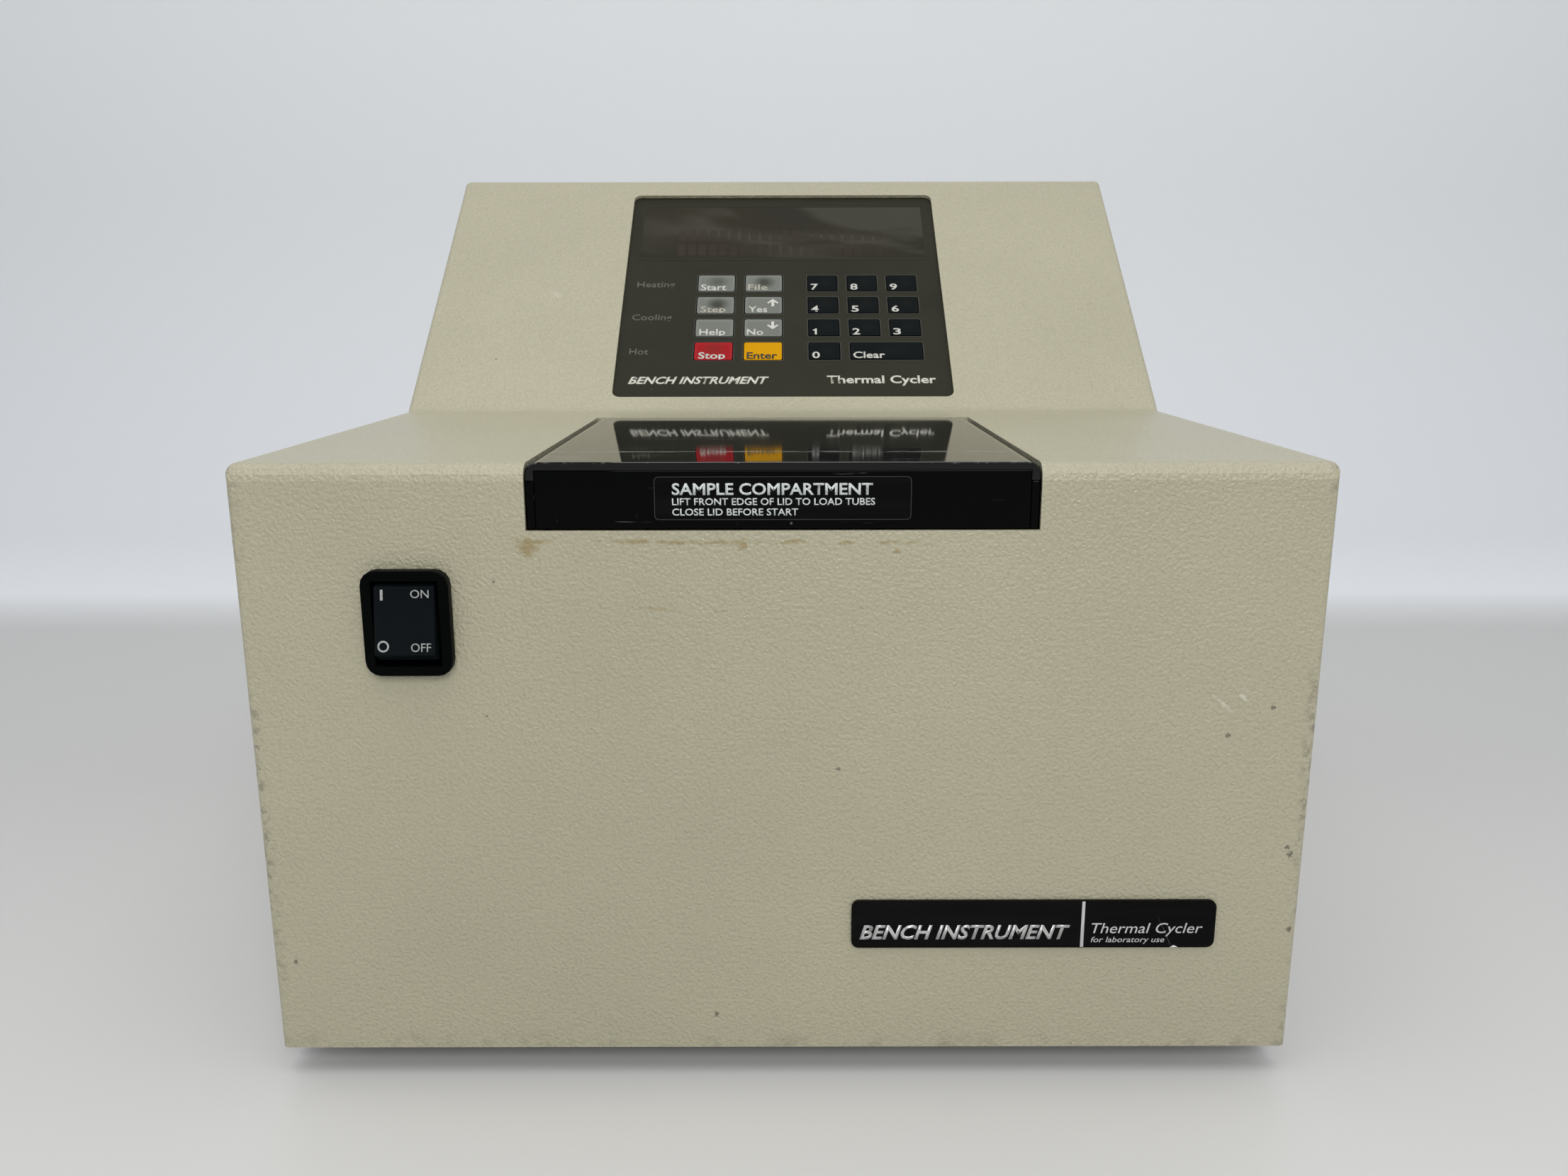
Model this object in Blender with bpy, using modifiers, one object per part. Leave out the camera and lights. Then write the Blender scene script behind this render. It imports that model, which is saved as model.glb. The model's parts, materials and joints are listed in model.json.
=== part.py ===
"""Bench thermal cycler: a flip-up lid over its sample block, a sloping keypad console, a compressor inside.

Frame: metres, +Z up, +X to the right of someone facing the front, +Y from the front to the rear.
The origin is on the bench, under the centre of the whole machine.
Sizes below are in millimetres; the shape helpers turn them into metres.
"""

import math

import bmesh
import bpy
from mathutils import Matrix, Vector

MM = 0.001
GAP = 0.3  # left between two pieces that touch
PAST = 8.0  # how far a cutter runs past what it cuts

# --- driving dimensions ---------------------------------------------------------------------------
BODY_WIDTH = 330.2
BODY_DEPTH = 431.8
FRONT_HEIGHT = 192.6  # the cover's front face, from its lower edge to the deck
DECK_DEPTH = 183.1  # from the front face to the foot of the console's slope
CONSOLE_RUN = 129.0
CONSOLE_RISE = 108.2
SHEET = 1.6  # steel sheet of the cover, pan and rear panel
COVER_LIFT = 10.0  # the cover's lower edge above the bench
FRONT_BEND = 5.0
TOP_BEND = 4.0
STEP_BEND = 3.0
SIDE_BEND = 2.2

# lid and sample compartment
LID_OPENING_WIDTH = 153.4
LID_OPENING_DEPTH = 151.4
LID_OPENING_DROP = 20.0
LID_CLEARANCE = 0.6
LID_DEPTH = 143.8
LID_TOP_THICK = 5.5
LID_CORNER = 4.0  # radius where the top rolls over to the sides
LID_LIP = 2.4  # the top's thickness where it laps over the front sheet
LID_WALL_THICK = 2.4
LID_WALL_SHORT = 6.0  # the side walls stop this far before the lid's rear edge
LID_EDGE = 0.4
LID_FRONT_THICK = 4.5
LID_INSET = 0.3  # the lid's front face behind the cover's
LID_PROUD = 0.5  # its top above the deck
HINGE_BACK = 2.8  # axis behind the lid's rear edge
HINGE_DROP = 3.6  # axis below the deck's surface
KNUCKLE_RADIUS = 2.4
HINGE_PIN_RADIUS = 1.1
HINGE_BORE_RADIUS = 1.4
HINGE_LENGTH = 140.0
HINGE_KNUCKLES = 5
HINGE_LEAF_THICK = 1.2
HINGE_LEAF_REACH = 14.0
TRAY_WALL = 2.0
TRAY_FLOOR = 2.4

# sample block
WELL_COLUMNS = 8
WELL_ROWS = 6
WELL_PITCH = 13.5
WELL_RADIUS = 4.0
WELL_STRAIGHT = 11.0
WELL_DEPTH = 23.0
WELL_TIP_RADIUS = 1.6
WELL_SIDES = 10
BLOCK_MARGIN = 9.5  # from the outer wells' axes to the block's sides
BLOCK_HEIGHT = 30.0
BLOCK_PROUD = 1.5  # above the tray's floor
BLOCK_CENTRE_BACK = 72.0  # from the front face
HEATER_THICK = 2.0
COOLING_THICK = 14.0
INSULATION_THICK = 10.0
INSULATION_HEIGHT = 30.0

# control panel on the slope; V distances run up the slope from its foot
PANEL_WIDTH = 152.2
PANEL_LOW = 8.9
PANEL_HIGH = 156.2
PANEL_CORNER = 3.6
OVERLAY_LIP = 3.5  # how far the overlay reaches behind the cover all round
OVERLAY_THICK = 1.2
WINDOW_WIDTH = 142.0
WINDOW_LOW = 107.1
WINDOW_HIGH = 149.3
KEY_PROUD = 0.2
KEY_THICK = 1.0
KEY_CLEARANCE = 0.4
KEY_TRAVEL = 0.5
KEY_CORNER = 0.8
KEY_ROW_PITCH = 16.0
KEY_TOP_ROW = 88.5
FUNCTION_COLUMNS = (-32.0, -9.2)
FUNCTION_KEY = (17.4, 11.6)
NUMBER_FIRST_COLUMN = 19.1
NUMBER_PITCH = 19.05
NUMBER_KEY = (13.8, 11.0)
PLATE_THICK = 2.0
DISPLAY_BOARD = (150.0, 46.0, 1.8)
DISPLAY_GLASS = (128.0, 34.0, 8.0)

# power switch
SWITCH_X = -113.0
SWITCH_HEIGHT = 145.0  # above the cover's lower edge
BEZEL_WIDTH = 26.4
BEZEL_HEIGHT = 32.6
BEZEL_CORNER = 4.6
BEZEL_PROUD = 4.0
BEZEL_EDGE = 1.3
SWITCH_OPENING = (20.2, 26.4)
SWITCH_BODY = (23.0, 29.4, 24.0)
ROCKER_WIDTH = 18.2
ROCKER_FACE = 10.2  # half height of the face
ROCKER_WAIST = 12.2  # half height where the end walls stop
ROCKER_REACH = 9.0  # from the pivot to the face
ROCKER_TILT = 10.0  # degrees either side of level
ROCKER_PIVOT_DEPTH = 3.0  # behind the cover's front face

# nameplate and lid label
NAMEPLATE_X = 80.0
NAMEPLATE_SIZE = (116.6, 16.4)
NAMEPLATE_HEIGHT = 44.6  # its centre above the cover's lower edge
NAMEPLATE_THICK = 1.0
LABEL_SIZE = (76.3, 13.0)
LABEL_THICK = 0.3
LABEL_DROP = 10.25  # its centre below the deck

# rear panel and what it carries
REAR_RECESS = 1.5
FAN_X = 78.0
FAN_Z = 96.0
FAN_SIZE = 119.0
FAN_DEPTH = 38.0
FAN_DUCT_RADIUS = 56.5
FAN_HUB_RADIUS = 21.0
FAN_TIP_GAP = 1.5
FAN_BLADES = 7
FAN_BLADE = (26.0, 2.0)  # chord and thickness
FAN_PITCH = math.radians(48.0)
FAN_BOSS_DEPTH = 8.0
FAN_STRUT_WIDTH = 4.0
FAN_INSET = 4.0  # the rotor's front behind the frame's
GUARD_WIRE = 1.8
GUARD_RINGS = (18.0, 31.0, 44.0, 57.0)
INLET_X = -112.0
INLET_Z = 48.0
INLET_OPENING = (26.0, 20.0)
INLET_FLANGE = (48.0, 28.0)
INLET_WALL = 2.0
INLET_DEPTH = 17.0
FUSE_X = -66.0
FUSE_RADIUS = 7.5
FUSE_SHOULDER = 1.0  # the barrel's radius is less than the cap's by this
FUSE_PROUD = 9.0
PORT_X = -112.0
PORT_Z = 212.0
PORT_SHELL = (39.0, 12.5)

# side vents
VENT_SLOTS = 12
VENT_PITCH = 11.0
VENT_WIDTH = 4.0
VENT_LOW = 30.0
VENT_HIGH = 92.0
VENT_FIRST = 268.0  # first slot behind the front face

# feet and pan
FOOT_RADIUS = 11.0
FOOT_TAPER = 1.5
FOOT_INSET_X = 34.0
FOOT_INSET_FRONT = 36.0
FOOT_INSET_REAR = 34.0
PAN_FLANGE = 22.0

# machinery
COMPRESSOR_X = -78.0
COMPRESSOR_BACK = 318.0
COMPRESSOR_RADIUS = 56.0
COMPRESSOR_HEIGHT = 150.0
CONDENSER_SIZE = (124.0, 30.0, 122.0)
CONDENSER_FINS = 12
FIN_DEPTH = 11.0
PIPE_RADIUS = 3.2
TRANSFORMER_X = 112.0
TRANSFORMER_BACK = 62.0
TRANSFORMER_SIZE = (76.0, 64.0, 78.0)
COIL_INSET = 12.0
BOARD_HEIGHT = 128.0
BOARD_LENGTH = 190.0
BOARD_THICK = 1.6

# --- places worked out from the dimensions --------------------------------------------------------
FRONT_PROUD = (
    ROCKER_REACH * math.cos(math.radians(ROCKER_TILT))
    + ROCKER_FACE * math.sin(math.radians(ROCKER_TILT))
    - ROCKER_PIVOT_DEPTH
)
REAR_PROUD = FUSE_PROUD - REAR_RECESS
FRONT_Y = -(FRONT_PROUD + BODY_DEPTH + REAR_PROUD) / 2 + FRONT_PROUD
REAR_Y = FRONT_Y + BODY_DEPTH
SIDE_X = BODY_WIDTH / 2
INNER_X = SIDE_X - SHEET
COVER_Z = COVER_LIFT
DECK_Z = COVER_Z + FRONT_HEIGHT
LID_TOP_Z = DECK_Z + LID_PROUD
TOP_Z = DECK_Z + CONSOLE_RISE
STEP_Y = FRONT_Y + DECK_DEPTH
CREST_Y = STEP_Y + CONSOLE_RUN
SLOPE = math.atan2(CONSOLE_RISE, CONSOLE_RUN)
PAN_Z = COVER_Z + 1.0
PAN_TOP = PAN_Z + SHEET
REAR_FACE = REAR_Y - REAR_RECESS
REAR_INNER = REAR_FACE - SHEET
LID_HALF = LID_OPENING_WIDTH / 2 - LID_CLEARANCE
LID_FRONT = FRONT_Y + LID_INSET
LID_REAR = FRONT_Y + LID_DEPTH
OPENING_REAR = FRONT_Y + LID_OPENING_DEPTH
NOTCH_Z = DECK_Z - LID_OPENING_DROP
HINGE_Y = LID_REAR + HINGE_BACK
HINGE_Z = DECK_Z - HINGE_DROP
TRAY_TOP = NOTCH_Z - GAP
BLOCK_HALF_X = (WELL_COLUMNS - 1) * WELL_PITCH / 2 + BLOCK_MARGIN
BLOCK_HALF_Y = (WELL_ROWS - 1) * WELL_PITCH / 2 + BLOCK_MARGIN
BLOCK_Y = FRONT_Y + BLOCK_CENTRE_BACK
BLOCK_TOP = TRAY_TOP + BLOCK_PROUD
BLOCK_BASE = BLOCK_TOP - BLOCK_HEIGHT
HEATER_BASE = BLOCK_BASE - GAP - HEATER_THICK
COOLING_BASE = HEATER_BASE - GAP - COOLING_THICK
SWITCH_Z = COVER_Z + SWITCH_HEIGHT
OVERLAY_TOP = -SHEET - GAP
OVERLAY_BASE = OVERLAY_TOP - OVERLAY_THICK
KEY_TOP = OVERLAY_TOP + KEY_PROUD
KEY_BASE = KEY_TOP - KEY_THICK
PLATE_TOP = min(OVERLAY_BASE - GAP, KEY_BASE - KEY_TRAVEL - GAP)
FAN_REAR = REAR_INNER - GAP
FAN_FRONT = FAN_REAR - FAN_DEPTH

# colour, roughness, metallic
MATERIALS = {
    "cover_paint": ((0.42, 0.40, 0.31), 0.45, 0.0),
    "zinc_steel": ((0.55, 0.55, 0.53), 0.40, 1.0),
    "rubber": ((0.015, 0.015, 0.015), 0.85, 0.0),
    "black_acrylic": ((0.004, 0.004, 0.004), 0.06, 0.0),
    "black_plastic": ((0.012, 0.013, 0.014), 0.45, 0.0),
    "overlay_film": ((0.045, 0.043, 0.034), 0.30, 0.0),
    "smoked_window": ((0.03, 0.025, 0.02), 0.08, 0.0),
    "key_grey": ((0.16, 0.17, 0.165), 0.35, 0.0),
    "key_black": ((0.006, 0.009, 0.013), 0.30, 0.0),
    "key_red": ((0.45, 0.012, 0.02), 0.35, 0.0),
    "key_amber": ((0.72, 0.34, 0.004), 0.35, 0.0),
    "label_film": ((0.008, 0.008, 0.008), 0.30, 0.0),
    "aluminium": ((0.60, 0.61, 0.62), 0.35, 1.0),
    "foam": ((0.03, 0.03, 0.03), 0.95, 0.0),
    "copper": ((0.70, 0.32, 0.18), 0.30, 1.0),
    "circuit_board": ((0.02, 0.11, 0.04), 0.50, 0.0),
    "display_glass": ((0.05, 0.06, 0.06), 0.10, 0.0),
    "compressor_black": ((0.01, 0.01, 0.01), 0.35, 0.0),
    "transformer_iron": ((0.20, 0.19, 0.18), 0.55, 0.6),
    "heater_film": ((0.38, 0.16, 0.04), 0.50, 0.0),
}


# --- scene and shape helpers ----------------------------------------------------------------------
def clear_scene():
    for old in list(bpy.data.objects):
        bpy.data.objects.remove(old)


def new_collection(name):
    made = bpy.data.collections.new(name)
    bpy.context.scene.collection.children.link(made)
    return made


def material(name):
    """The Principled material of this name, made the first time it is asked for."""
    found = bpy.data.materials.get(name)
    if found:
        return found
    colour, roughness, metallic = MATERIALS[name]
    made = bpy.data.materials.new(name)
    made.use_nodes = True
    shader = made.node_tree.nodes["Principled BSDF"]
    shader.inputs["Base Color"].default_value = (*colour, 1.0)
    shader.inputs["Roughness"].default_value = roughness
    shader.inputs["Metallic"].default_value = metallic
    return made


def add_object(name, mesh, finish=None):
    """A part of the machine when it has a finish, otherwise a hidden cutter or joining shape."""
    made = bpy.data.objects.new(name, mesh)
    if finish:
        PARTS.objects.link(made)
        mesh.materials.append(material(finish))
    else:
        TOOLS.objects.link(made)
        made.hide_render = True
        made.display_type = "WIRE"
    return made


def from_bmesh(name, shape, finish=None):
    bmesh.ops.recalc_face_normals(shape, faces=shape.faces)
    mesh = bpy.data.meshes.new(name)
    shape.to_mesh(mesh)
    shape.free()
    return add_object(name, mesh, finish)


def add_box(shape, low, high):
    """Adds a box to a bmesh, given two opposite corners in millimetres."""
    low, high = Vector(low) * MM, Vector(high) * MM
    place = Matrix.Translation((low + high) / 2) @ Matrix.Diagonal((*(high - low), 1.0))
    bmesh.ops.create_cube(shape, size=1.0, matrix=place)


def box(name, low, high, finish=None, edge=0.0):
    shape = bmesh.new()
    add_box(shape, low, high)
    made = from_bmesh(name, shape, finish)
    if edge:
        bevel(made, edge)
    return made


def add_cone(shape, start, end, radius, end_radius=None, sides=24):
    """Adds a cylinder or a cone to a bmesh, from start to end in millimetres."""
    start, end = Vector(start) * MM, Vector(end) * MM
    along = end - start
    place = Matrix.Translation((start + end) / 2) @ along.to_track_quat("Z", "Y").to_matrix().to_4x4()
    bmesh.ops.create_cone(
        shape,
        cap_ends=True,
        segments=sides,
        radius1=radius * MM,
        radius2=(radius if end_radius is None else end_radius) * MM,
        depth=along.length,
        matrix=place,
    )


def cylinder(name, start, end, radius, finish=None, end_radius=None, sides=24):
    shape = bmesh.new()
    add_cone(shape, start, end, radius, end_radius, sides)
    made = from_bmesh(name, shape, finish)
    if finish:
        smooth(made)
    return made


def smooth(obj, angle=40.0):
    obj.data.shade_smooth()
    obj.data.set_sharp_from_angle(angle=math.radians(angle))


def bevel(obj, width, segments=2):
    made = obj.modifiers.new("round_edges", "BEVEL")
    made.width = width * MM
    made.segments = segments
    made.limit_method = "ANGLE"
    made.angle_limit = math.radians(35)


def boolean(obj, other, operation):
    made = obj.modifiers.new(f"{operation.lower()}_{other.name}", "BOOLEAN")
    made.operation = operation
    made.object = other


def cut(obj, *cutters):
    for cutter in cutters:
        boolean(obj, cutter, "DIFFERENCE")


def join(obj, *others):
    for other in others:
        boolean(obj, other, "UNION")


def as_mesh(name, curve, place, finish=None):
    """The evaluated curve as a mesh object with welded caps; the curve is removed."""
    curve_object = bpy.data.objects.new(name + "_outline", curve)
    TOOLS.objects.link(curve_object)
    curve_object.matrix_world = place
    bpy.context.view_layer.update()
    evaluated = curve_object.evaluated_get(bpy.context.evaluated_depsgraph_get())
    mesh = bpy.data.meshes.new_from_object(evaluated)
    bpy.data.objects.remove(curve_object)
    shape = bmesh.new()
    shape.from_mesh(mesh)
    bmesh.ops.remove_doubles(shape, verts=shape.verts, dist=0.00001)
    bmesh.ops.recalc_face_normals(shape, faces=shape.faces)
    shape.to_mesh(mesh)
    shape.free()
    mesh.name = name
    mesh.materials.clear()
    made = add_object(name, mesh, finish)
    made.matrix_world = place
    return made


def slab(name, outline, low, high, place, finish=None):
    """A flat outline of (u, v) points, thick from low to high along the third axis of place."""
    curve = bpy.data.curves.new(name, "CURVE")
    curve.dimensions = "2D"
    curve.fill_mode = "BOTH"
    curve.extrude = (high - low) / 2 * MM
    spline = curve.splines.new("POLY")
    spline.points.add(len(outline) - 1)
    for point, (u, v) in zip(spline.points, outline):
        point.co = (u * MM, v * MM, 0.0, 1.0)
    spline.use_cyclic_u = True
    middle = Matrix.Translation((0.0, 0.0, (low + high) / 2 * MM))
    return as_mesh(name, curve, place @ middle, finish)


def rounded_rectangle(centre, size, radius, steps=4):
    """Points of a rectangle with round corners, counter-clockwise."""
    points = []
    for corner in range(4):
        turn = corner * math.pi / 2
        sign_u = 1 if corner in (0, 3) else -1
        sign_v = 1 if corner in (0, 1) else -1
        middle_u = centre[0] + sign_u * (size[0] / 2 - radius)
        middle_v = centre[1] + sign_v * (size[1] / 2 - radius)
        for step in range(steps + 1):
            angle = turn + step / steps * math.pi / 2
            points.append((middle_u + radius * math.cos(angle), middle_v + radius * math.sin(angle)))
    return points


def axes(origin, along_u, along_v):
    """A placing matrix with its origin in millimetres and the directions of its first two axes."""
    u, v = Vector(along_u).normalized(), Vector(along_v).normalized()
    turned = Matrix((u, v, u.cross(v))).transposed().to_4x4()
    return Matrix.Translation(Vector(origin) * MM) @ turned


def turned_solid(name, profile, centre, finish, steps=24):
    """Spins a profile of (radius, height) points, listed from the top down, about a vertical axis."""
    shape = bmesh.new()
    points = [shape.verts.new((radius * MM, 0.0, height * MM)) for radius, height in profile]
    for first, second in zip(points, points[1:]):
        shape.edges.new((first, second))
    mesh = bpy.data.meshes.new(name)
    shape.to_mesh(mesh)
    shape.free()
    made = add_object(name, mesh, finish)
    made.location = Vector(centre) * MM
    screw = made.modifiers.new("spin", "SCREW")
    screw.steps = steps
    screw.render_steps = steps
    screw.use_merge_vertices = True
    screw.merge_threshold = 0.00005
    screw.use_smooth_shade = True
    return made


def smooth_route(points, per_span=5):
    """A Catmull-Rom curve through the points, as a denser list."""
    ends = [Vector(points[0]) * 2 - Vector(points[1]), *map(Vector, points)]
    ends.append(Vector(points[-1]) * 2 - Vector(points[-2]))
    route = []
    for a, b, c, d in zip(ends, ends[1:], ends[2:], ends[3:]):
        linear, square, cube = c - a, 2 * a - 5 * b + 4 * c - d, 3 * b - a - 3 * c + d
        for step in range(per_span):
            t = step / per_span
            route.append(0.5 * (2 * b + linear * t + square * t**2 + cube * t**3))
    return [*route, ends[-2]]


def pipe(name, points, radius, finish):
    curve = bpy.data.curves.new(name, "CURVE")
    curve.dimensions = "3D"
    curve.bevel_depth = radius * MM
    curve.bevel_resolution = 2
    curve.use_fill_caps = True
    route = smooth_route(points)
    spline = curve.splines.new("POLY")
    spline.points.add(len(route) - 1)
    for point, place in zip(spline.points, route):
        point.co = (*(place * MM), 1.0)
    curve.materials.append(material(finish))
    made = bpy.data.objects.new(name, curve)
    PARTS.objects.link(made)
    return made


def set_origin(obj, point):
    """Moves an object's origin to a point in millimetres and leaves its shape where it is."""
    shift = Vector(point) * MM - obj.location
    obj.data.transform(Matrix.Translation(-shift))
    obj.location = Vector(point) * MM


def pivot(name, point, *pieces):
    """An empty on a joint's axis that carries the pieces which move together."""
    made = bpy.data.objects.new(name, None)
    PARTS.objects.link(made)
    made.location = Vector(point) * MM
    bpy.context.view_layer.update()
    for piece in pieces:
        piece.parent = made
        piece.matrix_parent_inverse = made.matrix_world.inverted()
    return made


# --- cover, pan, rear panel, feet -----------------------------------------------------------------
def make_cover():
    """One folded and welded sheet: front, deck, sloping console, top and both sides."""
    profile = [
        (FRONT_Y, COVER_Z),
        (FRONT_Y, DECK_Z),
        (STEP_Y, DECK_Z),
        (CREST_Y, TOP_Z),
        (REAR_Y, TOP_Z),
        (REAR_Y, COVER_Z),
    ]
    shape = bmesh.new()
    side = shape.faces.new([shape.verts.new((-SIDE_X * MM, y * MM, z * MM)) for y, z in profile])
    moved = bmesh.ops.extrude_face_region(shape, geom=[side])["geom"]
    bmesh.ops.translate(
        shape,
        vec=(BODY_WIDTH * MM, 0.0, 0.0),
        verts=[item for item in moved if isinstance(item, bmesh.types.BMVert)],
    )
    bmesh.ops.recalc_face_normals(shape, faces=shape.faces)
    shape.normal_update()
    open_sides = [face for face in shape.faces if face.normal.z < -0.9 or face.normal.y > 0.9]
    bmesh.ops.delete(shape, geom=open_sides, context="FACES_ONLY")
    weights = shape.edges.layers.float.new("bevel_weight_edge")
    for edge in shape.edges:
        if len(edge.link_faces) == 2:
            edge[weights] = bend_of(edge) / FRONT_BEND
    mesh = bpy.data.meshes.new("housing_cover")
    shape.to_mesh(mesh)
    shape.free()
    cover = add_object("housing_cover", mesh, "cover_paint")
    bends = cover.modifiers.new("bends", "BEVEL")
    bends.width = FRONT_BEND * MM
    bends.segments = 4
    bends.limit_method = "WEIGHT"
    sheet = cover.modifiers.new("sheet", "SOLIDIFY")
    sheet.thickness = SHEET * MM
    sheet.offset = -1.0
    sheet.use_even_offset = True
    cut(cover, lid_opening(), switch_cutout(), panel_cutout(), vent_slots())
    return cover


def bend_of(edge):
    """The bend radius of one of the cover's folds, told apart by where the fold runs."""
    middle = (edge.verts[0].co + edge.verts[1].co) / 2 / MM
    across = abs(edge.verts[0].co.x - edge.verts[1].co.x) > MM
    if not across:
        return SIDE_BEND
    if middle.y < FRONT_Y + 1:
        return FRONT_BEND
    return STEP_BEND if middle.z < DECK_Z + 1 else TOP_BEND


def lid_opening():
    half = LID_OPENING_WIDTH / 2
    past = 20.0
    return box(
        "lid_opening_cutter",
        (-half, FRONT_Y - past, NOTCH_Z),
        (half, OPENING_REAR, DECK_Z + past),
    )


def switch_cutout():
    half_x, half_z = SWITCH_BODY[0] / 2 + GAP, SWITCH_BODY[1] / 2 + GAP
    return box(
        "switch_cutter",
        (SWITCH_X - half_x, FRONT_Y - 5, SWITCH_Z - half_z),
        (SWITCH_X + half_x, FRONT_Y + 10, SWITCH_Z + half_z),
    )


def slope_axes():
    """U to the right, V up the slope from its foot, W out of the sheet."""
    return axes((0, STEP_Y, DECK_Z), (1, 0, 0), (0, math.cos(SLOPE), math.sin(SLOPE)))


def panel_outline(grow):
    centre = (0.0, (PANEL_LOW + PANEL_HIGH) / 2)
    size = (PANEL_WIDTH + 2 * grow, PANEL_HIGH - PANEL_LOW + 2 * grow)
    return rounded_rectangle(centre, size, PANEL_CORNER + max(grow, 0.0))


def panel_cutout():
    return slab("panel_cutter", panel_outline(0.0), -10, 10, slope_axes())


def vent_slots():
    """Air slots low in both sides, behind which the condenser draws its air."""
    shape = bmesh.new()
    for slot in range(VENT_SLOTS):
        y = FRONT_Y + VENT_FIRST + slot * VENT_PITCH
        for side in (-1, 1):
            low = (side * SIDE_X - 6, y, COVER_Z + VENT_LOW)
            high = (side * SIDE_X + 6, y + VENT_WIDTH, COVER_Z + VENT_HIGH)
            add_box(shape, low, high)
    return from_bmesh("vent_cutter", shape)


def make_pan():
    """The bottom pan, with flanges turned up inside the cover's sides and front."""
    half = INNER_X - GAP
    front, rear = FRONT_Y + SHEET + GAP, REAR_INNER - GAP
    pan = box("base_pan", (-half, front, PAN_Z), (half, rear, PAN_Z + PAN_FLANGE), "zinc_steel")
    hollow = box(
        "pan_cutter",
        (-half + SHEET, front + SHEET, PAN_TOP),
        (half - SHEET, rear + 10, PAN_Z + PAN_FLANGE + 10),
    )
    cut(pan, hollow)
    return pan


def make_rear_panel():
    """The rear sheet, standing inside the cover's rear opening."""
    half = INNER_X - GAP
    low, high = (-half, REAR_INNER, PAN_Z), (half, REAR_FACE, TOP_Z - SHEET - GAP)
    panel = box("rear_panel", low, high, "zinc_steel")
    wall = INLET_WALL + GAP
    inlet = rear_cutter("inlet_cutter", (INLET_X, INLET_Z), INLET_OPENING, wall)
    port = rear_cutter("port_cutter", (PORT_X, PORT_Z), PORT_SHELL, GAP)
    holes = bmesh.new()
    for (x, height), radius, sides in (
        ((FAN_X, FAN_Z), FAN_DUCT_RADIUS, 32),
        ((FUSE_X, INLET_Z), FUSE_RADIUS - FUSE_SHOULDER, 16),
    ):
        z = COVER_Z + height
        add_cone(holes, (x, REAR_INNER - PAST, z), (x, REAR_FACE + PAST, z), radius, sides=sides)
    cut(panel, inlet, port, from_bmesh("rear_hole_cutter", holes))
    return panel


def rear_cutter(name, centre, size, room):
    """A block through the rear panel round a fitting, with room left on all four sides."""
    x, z = centre[0], COVER_Z + centre[1]
    half_x, half_z = size[0] / 2 + room, size[1] / 2 + room
    return box(name, (x - half_x, REAR_INNER - PAST, z - half_z), (x + half_x, REAR_FACE + PAST, z + half_z))


def make_feet():
    front, rear = FRONT_Y + FOOT_INSET_FRONT, REAR_Y - FOOT_INSET_REAR
    left, right = -SIDE_X + FOOT_INSET_X, SIDE_X - FOOT_INSET_X
    places = {
        "foot_front_left": (left, front),
        "foot_front_right": (right, front),
        "foot_rear_left": (left, rear),
        "foot_rear_right": (right, rear),
    }
    for name, (x, y) in places.items():
        ends = (x, y, 0), (x, y, PAN_Z - GAP)
        foot = cylinder(name, *ends, FOOT_RADIUS - FOOT_TAPER, "rubber", FOOT_RADIUS, sides=20)
        bevel(foot, 0.8)


# --- lid ------------------------------------------------------------------------------------------
def make_lid():
    """Four bonded acrylic sheets and a hinge leaf that turn together about the hinge pin."""
    under = LID_TOP_Z - LID_TOP_THICK
    wall_top = under - GAP / 2
    wall_low = NOTCH_Z + 2 * GAP
    wall_rear = LID_REAR - LID_WALL_SHORT
    inner = LID_HALF - LID_WALL_THICK
    top = make_lid_top(under, inner)
    front = box(
        "lid_front",
        (-inner + GAP / 2, LID_FRONT, wall_low),
        (inner - GAP / 2, LID_FRONT + LID_FRONT_THICK, LID_TOP_Z - LID_LIP - GAP / 2),
        "black_acrylic",
        LID_EDGE / 2,
    )
    walls = [
        box(name, (start, LID_FRONT, wall_low), (end, wall_rear, wall_top), "black_acrylic", LID_EDGE)
        for name, start, end in (("lid_wall_left", -LID_HALF, -inner), ("lid_wall_right", inner, LID_HALF))
    ]
    label_z = DECK_Z - LABEL_DROP
    label = box(
        "lid_label",
        (-LABEL_SIZE[0] / 2, LID_FRONT - LABEL_THICK - 0.05, label_z - LABEL_SIZE[1] / 2),
        (LABEL_SIZE[0] / 2, LID_FRONT - 0.05, label_z + LABEL_SIZE[1] / 2),
        "label_film",
    )
    leaf = hinge_leaf_lid(under)
    pivot("lid_pivot", (0, HINGE_Y, HINGE_Z), top, front, *walls, label, leaf)


def make_lid_top(under, inner):
    """The top sheet: its sides roll over, and a step under its front edge takes the front sheet."""
    outline = [(-LID_HALF, under), (LID_HALF, under)]
    steps = 5
    for side, start in ((1, 0.0), (-1, math.pi / 2)):
        for step in range(steps + 1):
            angle = start + step / steps * math.pi / 2
            across = side * (LID_HALF - LID_CORNER) + LID_CORNER * math.cos(angle)
            outline.append((across, LID_TOP_Z - LID_CORNER + LID_CORNER * math.sin(angle)))
    place = axes((0, LID_FRONT, 0), (1, 0, 0), (0, 0, 1))
    top = slab("lid_top", outline, LID_FRONT - LID_REAR, 0.0, place, "black_acrylic")
    bevel(top, LID_EDGE)
    low = (-inner, LID_FRONT - PAST, under - PAST)
    high = (inner, LID_FRONT + LID_FRONT_THICK + GAP / 2, LID_TOP_Z - LID_LIP)
    cut(top, box("lid_step_cutter", low, high))
    return top


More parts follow.
